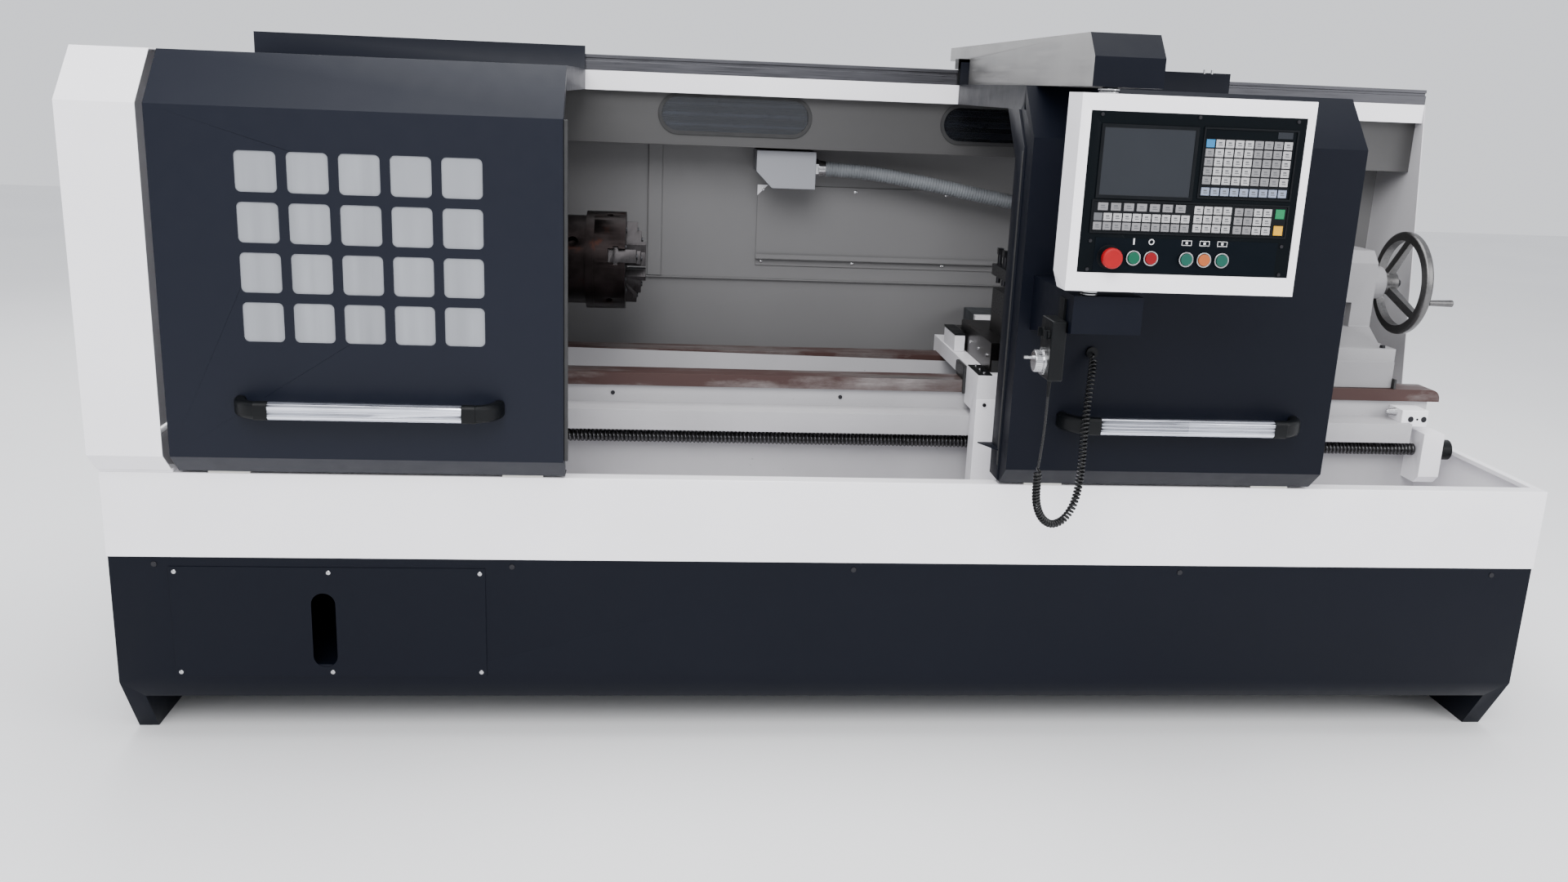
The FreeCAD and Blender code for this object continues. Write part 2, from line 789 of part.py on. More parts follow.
def screw_supports():
    """Motor mount at the headstock end and bearing block with its cap at the other end."""
    bore_radius = journal_radius + bore_gap
    mount = block(mount_x0, screw_left_x - open_gap, support_front_y - 8.0, bed_front_y,
                  support_bottom_z, step_bottom_z)
    mount = mount.cut(rod_x(mount_x0 - 1.0, screw_left_x, screw_y, screw_z, bore_radius))
    outline = [(bed_front_y, support_bottom_z - 20.0), (bed_front_y, support_top_z),
               (support_front_y, support_top_z), (support_front_y, support_bottom_z),
               (support_front_y + 20.0, support_bottom_z - 20.0)]
    bearing = prism_x(outline, support_x0, support_x1)
    cap = rod_x(support_x1, support_x1 + support_cap_length, screw_y, screw_z, support_cap_radius)
    bore = rod_x(support_x0 - 1.0, support_x1 - 2.0, screw_y, screw_z, bore_radius)
    return group(mount, join(bearing, cap).cut(bore))


def z_motor():
    x1 = mount_x0
    x0 = x1 - z_motor_length
    half = z_motor_side / 2
    y0 = min(screw_y - half, bed_front_y - z_motor_side)
    shell = block(x0, x1, y0, y0 + z_motor_side, screw_z - half, screw_z + step_bottom_z - screw_z)
    bore = rod_x(x1 - z_motor_reach - 5.0, x1 + 1.0, screw_y, screw_z, journal_radius + bore_gap)
    return shell.cut(bore)


# ---------------------------------------------------------------- carriage, cross slide, turret
carriage_right_x = carriage_left_x + carriage_length
dovetail_top_z = saddle_top_z + dovetail_height


def dovetail(extra, y0, y1):
    """Tapered slideway along Y, wider at its top, grown by extra."""
    half_top = dovetail_width / 2 + extra
    half_low = half_top - dovetail_undercut
    low_z, top_z = saddle_top_z - 0.5 * extra, dovetail_top_z + extra
    outline = [(turret_x - half_low, low_z), (turret_x + half_low, low_z),
               (turret_x + half_top, top_z), (turret_x - half_top, top_z)]
    return prism_y(outline, y0, y1)


def carriage():
    saddle_bottom_z = way_top_z + slide_gap
    saddle = block(carriage_left_x, carriage_right_x, way_front_y - slide_gap, way_back_y + slide_gap,
                   saddle_bottom_z, saddle_top_z)
    front = block(carriage_left_x, carriage_right_x, apron_front_y, way_front_y - slide_gap,
                  apron_block_bottom_z, saddle_top_z)
    apron = block(carriage_left_x, carriage_right_x, apron_front_y, apron_front_y + apron_thick,
                  apron_bottom_z, apron_block_bottom_z)
    wing = block(carriage_left_x, carriage_right_x, way_back_y + slide_gap, wing_back_y,
                 wing_bottom_z, saddle_top_z)
    nut_x = (carriage_left_x + carriage_right_x) / 2
    nut = block(nut_x - nut_length / 2, nut_x + nut_length / 2, apron_front_y + apron_thick,
                bed_front_y - 6.0, step_bottom_z - 6.0 - nut_height, step_bottom_z - 6.0)
    slideway = dovetail(0.0, apron_front_y + 10.0, wing_back_y)
    rear_wall = block(turret_x - x_motor_side / 2, turret_x + x_motor_side / 2, way_back_y + 4.0,
                      wing_back_y, saddle_top_z - 10.0, cross_screw_z + x_motor_side / 2)
    whole = join(saddle, front, apron, wing, nut, slideway, rear_wall)
    channel = block(turret_x - cross_channel_width / 2, turret_x + cross_channel_width / 2,
                    cross_channel_front_y, way_back_y - 10.0, saddle_top_z - 2.0, dovetail_top_z + 1.0)
    nut_bore = rod_x(carriage_left_x - 1.0, carriage_right_x + 1.0, screw_y, screw_z,
                     screw_radius + bore_gap)
    cross_bore = rod_y(way_back_y - 12.0, wing_back_y + 1.0, turret_x, cross_screw_z,
                       cross_screw_radius + bore_gap)
    return whole.cut([channel, nut_bore, cross_bore])


def x_motor():
    half = x_motor_side / 2
    shell = block(turret_x - half, turret_x + half, wing_back_y, wing_back_y + x_motor_length,
                  cross_screw_z - half, cross_screw_z + half)
    bore = rod_y(wing_back_y - 1.0, wing_back_y + x_motor_reach + 3.0, turret_x, cross_screw_z,
                 cross_screw_radius + bore_gap)
    return shell.cut(bore)


def x_ball_screw():
    return rod_y(cross_screw_front_y, wing_back_y + x_motor_reach, turret_x, cross_screw_z,
                 cross_screw_radius)


def cross_slide():
    half = cross_width / 2
    low_z = saddle_top_z + slide_gap
    plate = block(turret_x - half - 15.0, turret_x + half + 15.0, cross_front_y, cross_back_y,
                  low_z, cross_top_z)
    slot = dovetail(slide_gap, cross_front_y - 1.0, cross_back_y + 1.0)
    nut_half = cross_channel_width / 2 - open_gap
    nut_y0 = turret_y - cross_nut_length / 2
    nut = block(turret_x - nut_half, turret_x + nut_half, nut_y0, nut_y0 + cross_nut_length,
                saddle_top_z + 1.0, dovetail_top_z + open_gap)
    bore = rod_y(nut_y0 - 1.0, nut_y0 + cross_nut_length + 1.0, turret_x, cross_screw_z,
                 cross_screw_radius + bore_gap)
    return join(plate.cut(slot), nut).cut(bore)


def centred_block(side, z0, z1):
    half = side / 2
    return block(turret_x - half, turret_x + half, turret_y - half, turret_y + half, z0, z1)


turret_joint_z = cross_top_z + turret_base_height


def turret_base():
    pin_hole = rod_z(turret_joint_z - 30.0, turret_joint_z + 1.0, turret_x, turret_y,
                     turret_pin_radius + bore_gap)
    return centred_block(turret_base_side, cross_top_z, turret_joint_z).cut(pin_hole)


def turret_head():
    low_z = turret_joint_z + slide_gap
    parts = [centred_block(turret_base_side, low_z, turret_seat_top_z),
             centred_block(turret_post_side, turret_seat_top_z, turret_flange_bottom_z),
             centred_block(turret_side, turret_flange_bottom_z, turret_flange_top_z),
             rod_z(turret_flange_top_z, turret_flange_top_z + turret_cap_height, turret_x, turret_y,
                   turret_cap_radius),
             rod_z(turret_joint_z - 28.0, low_z, turret_x, turret_y, turret_pin_radius)]
    ring = turret_side / 2 - 14.0
    for quarter in range(4):
        for along in (-ring + 6.0, 0.0, ring - 6.0 - ring):
            angle = quarter * 90.0
            bolt = join(rod_z(turret_flange_bottom_z - tool_bolt_drop, turret_flange_bottom_z,
                              turret_x + along, turret_y - ring, tool_bolt_radius),
                        rod_z(turret_flange_top_z, turret_flange_top_z + tool_bolt_top - 16.0,
                              turret_x + along, turret_y - ring, tool_bolt_radius),
                        block(turret_x + along - tool_bolt_head / 2, turret_x + along + tool_bolt_head / 2,
                              turret_y - ring - tool_bolt_head / 2, turret_y - ring + tool_bolt_head / 2,
                              turret_flange_top_z + tool_bolt_top - 16.0,
                              turret_flange_top_z + tool_bolt_top))
            bolt.rotate(V(turret_x, turret_y, 0), V(0, 0, 1), angle)
            parts.append(bolt)
    return join(*parts)


# ---------------------------------------------------------------- tailstock
def tailstock():
    right_x = tail_left_x + tail_base_length
    half = tail_body_half
    foot = block(tail_left_x, right_x, tail_base_front_y, 2 * axis_y - tail_base_front_y,
                 way_top_z + slide_gap, tail_base_split_z)
    cap = block(tail_left_x, right_x, tail_base_front_y + 3.0, 2 * axis_y - tail_base_front_y - 3.0,
                tail_base_split_z, tail_base_top_z)
    flare = [(axis_y - half - 70.0, tail_base_top_z), (axis_y + half + 70.0, tail_base_top_z),
             (axis_y + half, tail_waist_z), (axis_y + half, tail_body_top_z - 30.0),
             (axis_y + half - 30.0, tail_body_top_z), (axis_y - half + 30.0, tail_body_top_z),
             (axis_y - half, tail_body_top_z - 30.0), (axis_y - half, tail_waist_z)]
    column = prism_x(flare, tail_body_left_x, tail_body_right_x)
    recess = block(tail_body_left_x + 60.0, tail_body_right_x - 60.0, axis_y - half - 80.0,
                   axis_y - half + 28.0, tail_base_top_z + 40.0, axis_z - 46.0)
    boss = rod_x(tail_body_right_x, wheel_boss_right_x, axis_y, axis_z, wheel_boss_radius)
    body = join(foot, cap, column.cut(recess), boss)
    quill_bore = rod_x(tail_body_left_x - 1.0, quill_nose_x + quill_length + 6.0, axis_y, axis_z,
                       quill_radius + bore_gap)
    shaft_bore = rod_x(tail_body_right_x - 70.0, wheel_boss_right_x + 1.0, axis_y, axis_z,
                       wheel_shaft_radius + bore_gap)
    return body.cut([quill_bore, shaft_bore])


def quill():
    """Sleeve with its pointed centre."""
    sleeve = rod_x(quill_nose_x, quill_nose_x + quill_length, axis_y, axis_z, quill_radius)
    point = Part.makeCone(0.5, centre_radius, centre_length * 0.55,
                          V(quill_nose_x - centre_length, axis_y, axis_z), V(1, 0, 0))
    stem = rod_x(quill_nose_x - centre_length * 0.45, quill_nose_x, axis_y, axis_z, centre_radius)
    screw_bore = rod_x(quill_nose_x + quill_screw_setback - 10.0, quill_nose_x + quill_length + 1.0,
                       axis_y, axis_z, wheel_shaft_radius + 1.0)
    return join(sleeve, stem, point).cut(screw_bore)


def tail_handwheel():
    """Dished wheel with three spokes, its hub on the quill's screw."""
    rim_x0 = wheel_rim_x - wheel_rim_thick / 2
    rim_x1 = wheel_rim_x + wheel_rim_thick / 2
    rim = rod_x(rim_x0, rim_x1, axis_y, axis_z, wheel_rim_radius)
    rim = rim.makeFillet(8.0, [e for e in rim.Edges if e.Closed])
    rim = rim.cut(rod_x(rim_x0 - 1.0, rim_x1 + 1.0, axis_y, axis_z, wheel_rim_radius - wheel_rim_width))
    hub_x0 = wheel_boss_right_x + slide_gap
    hub = rod_x(hub_x0, hub_x0 + wheel_hub_length, axis_y, axis_z, wheel_hub_radius)
    parts = [rim, hub]
    inner = wheel_hub_radius - 6.0
    outer = wheel_rim_radius - wheel_rim_width / 2
    spoke_x0, spoke_x1 = hub_x0 + 12.0, rim_x0 + 5.0
    outline = [(spoke_x0, axis_z + inner), (spoke_x1, axis_z + outer),
               (spoke_x1 + wheel_spoke_thick, axis_z + outer),
               (spoke_x0 + wheel_spoke_thick * 1.6, axis_z + inner)]
    for index in range(3):
        spoke = prism_y(outline, axis_y - wheel_spoke_width / 2, axis_y + wheel_spoke_width / 2)
        parts.append(turned_about_axis(spoke, wheel_spoke_angle - 90.0 + index * 120.0))
    parts.append(rod_x(quill_nose_x + quill_screw_setback, hub_x0, axis_y, axis_z, wheel_shaft_radius))
    dy, dz = polar(wheel_rim_radius - wheel_rim_width / 2, crank_angle)
    hole = rod_x(rim_x0 + 4.0, rim_x1 + 1.0, axis_y + dy, axis_z + dz, crank_pin_radius + bore_gap)
    return join(*parts).cut(hole)


def wheel_crank():
    dy, dz = polar(wheel_rim_radius - wheel_rim_width / 2, crank_angle)
    y, z = axis_y + dy, axis_z + dz
    rim_x1 = wheel_rim_x + wheel_rim_thick / 2
    pin = rod_x(rim_x1 - 18.0, rim_x1 + slide_gap, y, z, crank_pin_radius)
    grip = Part.makeCone(crank_radius * 0.8, crank_radius, crank_length,
                         V(rim_x1 + slide_gap, y, z), V(1, 0, 0))
    grip = grip.makeFillet(2.0, [e for e in grip.Edges if e.CenterOfMass.x > rim_x1 + crank_length - 1.0])
    return join(pin, grip)


# ---------------------------------------------------------------- doors, rail and guards
door_path = [(door_front_y + door_chamfer_depth + door_flange, door_bottom_z),
             (door_front_y + door_chamfer_depth, door_bottom_z),
             (door_front_y, door_chamfer_z), (door_front_y, door_fold_z),
             (door_roof_y, door_roof_z), (door_back_y, door_roof_z), (door_back_y, door_strip_z)]
front_path = door_path[1:5]


def door_shell(x0, x1):
    """Front, chamfer, slanted fold, roof and upstand of a door, with a return down each side."""
    skin = folded(door_path, sheet, x0, x1)
    parts = [skin]
    for side_x0, side_x1 in ((x0, x0 + sheet), (x1 - sheet, x1)):
        parts.append(folded(front_path, door_return, side_x0, side_x1))
        parts.append(block(side_x0, side_x1, door_roof_y, door_back_y + sheet,
                           door_roof_z - skirt_height, door_roof_z))
    return parts


def window_places():
    """(x, z) of the window centres."""
    first_x = window_centre_x - (window_columns - 1) / 2 * window_pitch
    first_z = window_centre_z - (window_rows - 1) / 2 * window_pitch
    return [(first_x + column * window_pitch, first_z + row * window_pitch)
            for column in range(window_columns) for row in range(window_rows)]


def left_door_panel():
    holes = [rounded_window(x, z, window_side, window_corner, door_front_y - 1.0,
                            door_front_y + sheet + 1.0) for x, z in window_places()]
    return join(*door_shell(left_door_left_x, left_door_right_x)).cut(holes)


def left_door_window():
    reach_x = (window_columns - 1) / 2 * window_pitch + window_side / 2 + glazing_margin
    reach_z = (window_rows - 1) / 2 * window_pitch + window_side / 2 + glazing_margin
    y0 = door_front_y + sheet
    return block(window_centre_x - reach_x, window_centre_x + reach_x, y0, y0 + glazing_thick,
                 window_centre_z - reach_z, window_centre_z + reach_z)


def right_door_panel():
    """Door with a deep stepped jamb on its left side; its lead hole carries the grommet."""
    x0 = right_door_left_x
    slope = (door_roof_y - door_front_y) / (door_roof_z - door_fold_z)
    turn_in = math.tan(math.atan(slope) / 2)
    skirt_z = door_roof_z - skirt_height

    def jamb_line(depth):
        """(y, z) where the jamb's edge at a depth meets the bottom, the fold and the skirt."""
        y = door_front_y + depth
        knee_z = door_fold_z - depth * turn_in
        return [(y, door_bottom_z + sheet), (y, knee_z), (y + (skirt_z - knee_z) * slope, skirt_z)]

    outer_edge = jamb_line(0.0)
    step_edge = jamb_line(jamb_return)
    inner_edge = jamb_line(jamb_return + jamb_depth)
    outer_edge[0] = (door_front_y, door_chamfer_z)
    chamfer_foot = (door_front_y + door_chamfer_depth, door_bottom_z)
    foot = (step_edge[0][0], door_bottom_z)
    side = prism_x([chamfer_foot] + outer_edge + step_edge[:0:-1] + [foot], x0, x0 + sheet)
    inner = prism_x(step_edge + inner_edge[::-1], x0 - jamb_step, x0 + sheet)
    wing_z = door_chamfer_z + 28.0
    wing_y0, wing_y1 = step_edge[0][0], inner_edge[0][0]
    wing = prism_z([(x0 - jamb_step, wing_y0), (x0 - jamb_step, wing_y1),
                    (x0 - jamb_step - jamb_wing, wing_y1)], wing_z, wing_z + sheet)
    shell = join(*door_shell(x0, right_door_right_x), side, inner, wing)
    lead_hole = rod_y(door_front_y - 1.0, door_front_y + sheet + 1.0, curl_route[-1][0],
                      curl_route[-1][2], grommet_radius - 4.0)
    return shell.cut(lead_hole)


def door_handle(x):
    """Flat-oval grip bar between two curved ends that stand on the door."""
    y = door_front_y - handle_reach
    half_z, half_y = handle_height / 2, handle_depth / 2
    x0, x1 = x - handle_length / 2, x + handle_length / 2
    bar = block(x0, x1, y - half_y, y + half_y, handle_z - half_z, handle_z + half_z)
    along = [e for e in bar.Edges if abs(e.tangentAt(e.FirstParameter).x) > 0.99]
    bar = bar.makeFillet(half_y * 0.8, along)
    ends = []
    for end_x, side in ((x0, -1), (x1, 1)):
        face = min(bar.Faces, key=lambda f: abs(f.CenterOfMass.x - end_x))
        ends.append(face.revolve(V(end_x, door_front_y, 0), V(0, 0, 1), side * 90.0))
    return group(bar, *ends)


def door_slides(x0, x1):
    """Two runners over the top rail and two shoes on the pan rim."""
    y0 = door_back_y + sheet
    y1 = rail_front_y + rail_depth + slide_gap + runner_wall
    pieces = []
    for x in (x0 + runner_inset, x1 - runner_inset - runner_length):
        body = block(x, x + runner_length, y0, y1, rail_bottom_z + 6.0, door_strip_z - 2.0)
        groove = block(x - 1.0, x + runner_length + 1.0, rail_front_y - slide_gap,
                       rail_front_y + rail_depth + slide_gap, rail_bottom_z, rail_top_z + slide_gap)
        pieces.append(body.cut(groove))
        shoe_y0 = door_front_y + door_chamfer_depth + 5.0
        pieces.append(block(x, x + shoe_length, shoe_y0, shoe_y0 + door_flange - 10.0,
                            pan_top_z + slide_gap, door_bottom_z))
    return group(*pieces)


def end_cover():
    """Closed cover over the pulley end, with the doors' outline and open towards the bed."""
    path = door_path[1:5] + [(end_cover_back_y, door_roof_z), (end_cover_back_y, door_bottom_z)]
    skin = folded(path, sheet, end_cover_left_x, end_cover_right_x)
    side = prism_x(path, end_cover_left_x, end_cover_left_x + sheet)
    foot = block(end_cover_left_x, end_cover_right_x, 2.0, pan_rim - open_gap, pan_top_z,
                 door_bottom_z + sheet)
    back_foot = block(end_cover_left_x, end_cover_right_x, end_cover_back_y - 14.0, end_cover_back_y,
                      pan_top_z, door_bottom_z + sheet)
    return join(skin, side, foot, back_foot)


def lamp_places():
    """x of the lamp windows' centres."""
    return [lamp_left_x + lamp_length / 2 + index * lamp_pitch for index in range(2)]


def lamp_beam():
    """Beam that carries the rail, with the lamp box behind and below it."""
    front = block(rail_left_x, rail_right_x, rail_front_y, rail_front_y + rail_depth,
                  beam_bottom_z, rail_bottom_z)
    panel_y1 = lamp_panel_y + sheet
    panel = block(rail_left_x, rail_right_x, lamp_panel_y, panel_y1, lamp_panel_bottom_z, rail_bottom_z)
    link = block(rail_left_x, rail_right_x, rail_front_y + rail_depth, lamp_panel_y, beam_bottom_z,
                 beam_bottom_z + sheet)
    top = block(rail_left_x, rail_right_x, rail_front_y + rail_depth, guard_y, rail_bottom_z - sheet,
                rail_bottom_z)
    floor = block(rail_left_x, rail_right_x, lamp_panel_y, guard_y, lamp_panel_bottom_z - sheet,
                  lamp_panel_bottom_z)
    windows = [stadium_y(x, lamp_z, lamp_length, lamp_height, lamp_panel_y - 1.0, panel_y1 + 1.0)
               for x in lamp_places()]
    return join(front, panel, link, top, floor).cut(windows)


def door_rail():
    body = block(rail_left_x, rail_right_x, rail_front_y, rail_front_y + rail_depth, rail_bottom_z,
                 rail_top_z)
    groove = block(rail_left_x - 1.0, rail_right_x + 1.0, rail_front_y - 1.0, rail_front_y + 5.0,
                   rail_top_z - 16.0, rail_top_z - 9.0)
    return body.cut(groove)


def rear_guard():
    """Back wall on the pan rim, with a closed end plate at the tailstock end."""
    wall = block(rail_left_x, rail_right_x, guard_y, guard_y + sheet, pan_top_z, rail_bottom_z)
    outline = [(guard_end_front_y, pan_top_z + 60.0), (rail_front_y, rail_bottom_z),
               (guard_y + sheet, rail_bottom_z), (guard_y + sheet, pan_top_z),
               (guard_y - 40.0, pan_top_z)]
    end = prism_x(outline, rail_right_x, rail_right_x + sheet)
    last, outlet = V(*conduit_route[-2]), V(*conduit_route[-1])
    sleeve = rod(last, outlet - last, conduit_radius + slide_gap, (outlet - last).Length + 40.0)
    return join(wall, end).cut(sleeve)


def junction_box():
    outline = [(wall_box_left_x, wall_box_bottom_z + wall_box_chamfer),
               (wall_box_left_x + wall_box_chamfer, wall_box_bottom_z),
               (wall_box_right_x, wall_box_bottom_z), (wall_box_right_x, wall_box_top_z),
               (wall_box_left_x, wall_box_top_z)]
    return prism_y(outline, guard_y - wall_box_depth, guard_y)


hinge_x = cabinet_right_x + hinge_pin_radius + 7.0
hinge_y = pan_depth + cabinet_depth + cabinet_door_gap + cabinet_door_thick / 2


def hinge_places():
    """Lower z of the cabinet's two hinges."""
    return (cabinet_bottom_z + 100.0, cabinet_top_z - 220.0)


def electrical_cabinet():
    y0, y1 = pan_depth, pan_depth + cabinet_depth
    shell = block(cabinet_left_x, cabinet_right_x, y0, y1, cabinet_bottom_z, cabinet_top_z)
    inside = block(cabinet_left_x + cabinet_wall, cabinet_right_x - cabinet_wall, y0 + cabinet_wall,
                   y1 + 1.0, cabinet_bottom_z + cabinet_wall, cabinet_top_z - cabinet_wall)
    lugs = []
    for z in hinge_places():
        knuckle = rod_z(z, z + hinge_knuckle, hinge_x, hinge_y, hinge_pin_radius * 1.6)
        pin = rod_z(z, z + hinge_knuckle * 1.8, hinge_x, hinge_y, hinge_pin_radius)
        web = block(cabinet_right_x, hinge_x, y1 - 40.0, y1 - 4.0, z, z + hinge_knuckle)
        strap = block(hinge_x - hinge_pin_radius, hinge_x + hinge_pin_radius, y1 - 40.0, hinge_y,
                      z, z + hinge_knuckle)
        lugs.append(join(knuckle, pin, web, strap))
    return join(shell.cut(inside), *lugs)


def cabinet_door():
    y0 = pan_depth + cabinet_depth + cabinet_door_gap
    y1 = y0 + cabinet_door_thick
    leaf = block(cabinet_left_x, cabinet_right_x - 1.0, y0, y1, cabinet_bottom_z, cabinet_top_z)
    hollow = block(cabinet_left_x + cabinet_wall, cabinet_right_x - 1.0 - cabinet_wall, y0 - 1.0,
                   y1 - cabinet_wall, cabinet_bottom_z + cabinet_wall, cabinet_top_z - cabinet_wall)
    middle_z = (cabinet_bottom_z + cabinet_top_z) / 2
    handle = block(cabinet_left_x + 30.0, cabinet_left_x + 52.0, y1 - cabinet_wall,
                   y1 + cabinet_handle_depth, middle_z - 60.0, middle_z + 60.0)
    leaf = join(leaf.cut(hollow), handle)
    bores = []
    for z in hinge_places():
        low_z, high_z = z + hinge_knuckle + slide_gap, z + 2 * hinge_knuckle
        leaf = join(leaf, rod_z(low_z, high_z, hinge_x, hinge_y, hinge_pin_radius * 1.6),
                    block(cabinet_right_x - 2.0, hinge_x, hinge_y - 3.0, hinge_y + 3.0, low_z, high_z))
        bores.append(rod_z(low_z - 1.0, z + hinge_knuckle * 1.85, hinge_x, hinge_y,
                           hinge_pin_radius + bore_gap))
    return leaf.cut(bores)


# ---------------------------------------------------------------- pendant, its arm and bracket
def arm_outline(inset):
    """(y, z) outline of the arm, shrunk by an inset."""
    cut = inset * 0.42
    return [(arm_front_y + inset, door_roof_z + inset), (door_back_y - inset - 3.0, door_roof_z + inset),
            (door_back_y - inset - 3.0, arm_clear_z + inset), (arm_back_y - inset, arm_clear_z + inset),
            (arm_back_y - inset, arm_top_z - inset),
            (arm_front_y + arm_chamfer_depth + cut, arm_top_z - inset),
            (arm_front_y + inset, arm_top_z - arm_chamfer_height - cut)]


def pendant_arm():
    """Box arm over the right door; the pendant's top pivot pin hangs from it."""
    shell = prism_x(arm_outline(0.0), arm_left_x, arm_right_x)
    inside = prism_x(arm_outline(sheet), arm_left_x + sheet, arm_right_x - sheet)
    pin = rod_z(pendant_top_z - 14.0, door_roof_z + sheet, pivot_x, pivot_y, pivot_radius)
    collar = rod_z(pendant_top_z + 4.0, door_roof_z, pivot_x, pivot_y, pivot_radius * 2)
    return join(shell.cut(inside), pin, collar)


def lower_bracket():
    """Hollow bracket on the door's face under the pendant, with the lower pivot pin."""
    def outline(inset, open_drop):
        slope = (bracket_front_z - bracket_back_z) / (door_front_y - arm_front_y)
        return [(arm_front_y + inset, bracket_front_z - inset * slope - open_drop),
                (door_front_y, bracket_back_z - open_drop),
                (door_front_y, bracket_top_z - inset), (arm_front_y + inset, bracket_top_z - inset)]

    shell = prism_x(outline(0.0, 0.0), bracket_left_x, bracket_right_x)
    inside = prism_x(outline(sheet, 20.0), bracket_left_x + sheet, bracket_right_x - sheet)
    pin = rod_z(bracket_top_z - sheet, pendant_bottom_z + 14.0, pivot_x, pivot_y, pivot_radius)
    collar = rod_z(bracket_top_z, pendant_bottom_z - 4.0, pivot_x, pivot_y, pivot_radius * 1.7)
    return join(shell.cut(inside), pin, collar)


panel_left_x = pendant_left_x + panel_margin_x
panel_right_x = pendant_right_x - panel_margin_x + 4.0
pendant_back_y = pendant_front_y + pendant_depth


def pendant_shell():
    def outline(inset):
        return [(pendant_front_y, pendant_bottom_z + inset), (pendant_front_y, pendant_top_z - inset),
                (pendant_back_y - inset, pendant_top_z - inset),
                (pendant_back_y - inset, pendant_bottom_z + pendant_chamfer_z + inset * 0.4),
                (pendant_back_y - pendant_chamfer_y - inset * 0.4, pendant_bottom_z + inset)]

    shell = prism_x(outline(0.0), pendant_left_x, pendant_right_x)
    hollow = prism_x(outline(pendant_wall), pendant_left_x + pendant_wall, pendant_right_x - pendant_wall)
    front = block(pendant_left_x, pendant_right_x, pendant_front_y, pendant_front_y + 2 * pendant_wall,
                  pendant_bottom_z, pendant_top_z)
    mouth = block(panel_left_x - 0.5, panel_right_x + 0.5, pendant_front_y - 1.0,
                  pendant_front_y + 2 * pendant_wall + 1.0, panel_bottom_z - 0.5, panel_top_z + 0.5)
    ledge = block(panel_left_x - 6.0, panel_right_x + 6.0, pendant_front_y + panel_thick,
                  pendant_front_y + panel_thick + pendant_wall, panel_bottom_z - 6.0, panel_top_z + 6.0)
    ledge_mouth = block(panel_left_x + 5.0, panel_right_x - 5.0, pendant_front_y,
                        pendant_front_y + 20.0, panel_bottom_z + 5.0, panel_top_z - 5.0)
    bush_radius = pivot_radius + 7.0
    bushes = [rod_z(pendant_bottom_z, pendant_bottom_z + 30.0, pivot_x, pivot_y, bush_radius),
              rod_z(pendant_top_z - 30.0, pendant_top_z, pivot_x, pivot_y, bush_radius)]
    body = join(shell.cut(hollow), front.cut(mouth), ledge.cut(ledge_mouth), *bushes)
    pins = [rod_z(pendant_bottom_z - 1.0, pendant_bottom_z + 16.0, pivot_x, pivot_y,
                  pivot_radius + bore_gap),
            rod_z(pendant_top_z - 16.0, pendant_top_z + 1.0, pivot_x, pivot_y, pivot_radius + bore_gap)]
    return body.cut(pins)


def control_plate():
    """Panel with the screen recess and a raised ring round each push button."""
    y0, y1 = pendant_front_y, pendant_front_y + panel_thick
    plate = block(panel_left_x, panel_right_x, y0, y1, panel_bottom_z, panel_top_z)
    rings = [rod_y(y0 - bezel_height, y0, x, button_z, bezel_radius) for x in button_xs + (stop_x,)]
    screen = block(screen_left_x, screen_right_x, y0 - 1.0, y0 + screen_recess, screen_bottom_z,
                   screen_top_z)
    holes = [rod_y(y0 - 20.0, y1 + 1.0, x, button_z, button_radius + 0.4) for x in button_xs + (stop_x,)]
    return join(plate, *rings).cut([screen] + holes)


def push_button(index):
    x = button_xs[index]
    cap = rod_y(pendant_front_y - button_front, pendant_front_y + button_back, x, button_z, button_radius)
    front_y = pendant_front_y - button_front
    return cap.makeFillet(1.2, [e for e in cap.Edges if e.CenterOfMass.y < front_y + 0.1])


def emergency_stop():
    front_y = pendant_front_y - stop_front
    head = rod_y(front_y, front_y + stop_head_height, stop_x, button_z, stop_head_radius)
    head = head.makeFillet(4.5, [e for e in head.Edges if e.CenterOfMass.y < front_y + 0.1])
    stem = rod_y(front_y + stop_head_height, pendant_front_y + button_back, stop_x, button_z,
                 button_radius)
    return join(head, stem)


# ---------------------------------------------------------------- hand pulse unit and its lead
unit_right_x = unit_left_x + unit_thick
unit_top_z = unit_bottom_z + unit_height
unit_mid_x = (unit_left_x + unit_right_x) / 2


def pulse_unit():
    """Hand unit with the hanger on its back, and the tapered relief that its lead leaves by."""
    body = block(unit_left_x, unit_right_x, unit_front_y, unit_front_y + unit_width, unit_bottom_z,
                 unit_top_z)
    body = body.makeFillet(unit_fillet, body.Edges)
    mid_y = unit_front_y + unit_width / 2
    hanger = block(unit_right_x - 4.0, bracket_left_x - slide_gap, mid_y - hanger_width / 2,
                   mid_y + hanger_width / 2, unit_top_z - 30.0, unit_top_z + hanger_height)
    relief = Part.makeCone(relief_radius * 0.6, relief_radius, relief_length,
                           V(unit_mid_x, dial_y, unit_bottom_z - relief_length), V(0, 0, 1))
    whole = join(body, hanger, relief)
    bores = [rod_x(unit_left_x - 1.0, unit_left_x + 12.0, dial_y, dial_z, 4.0 + bore_gap)]
    for y in selector_ys:
        bores.append(rod_x(unit_left_x - 1.0, unit_left_x + 9.0, y, selector_z, 3.0 + bore_gap))
    return whole.cut(bores)


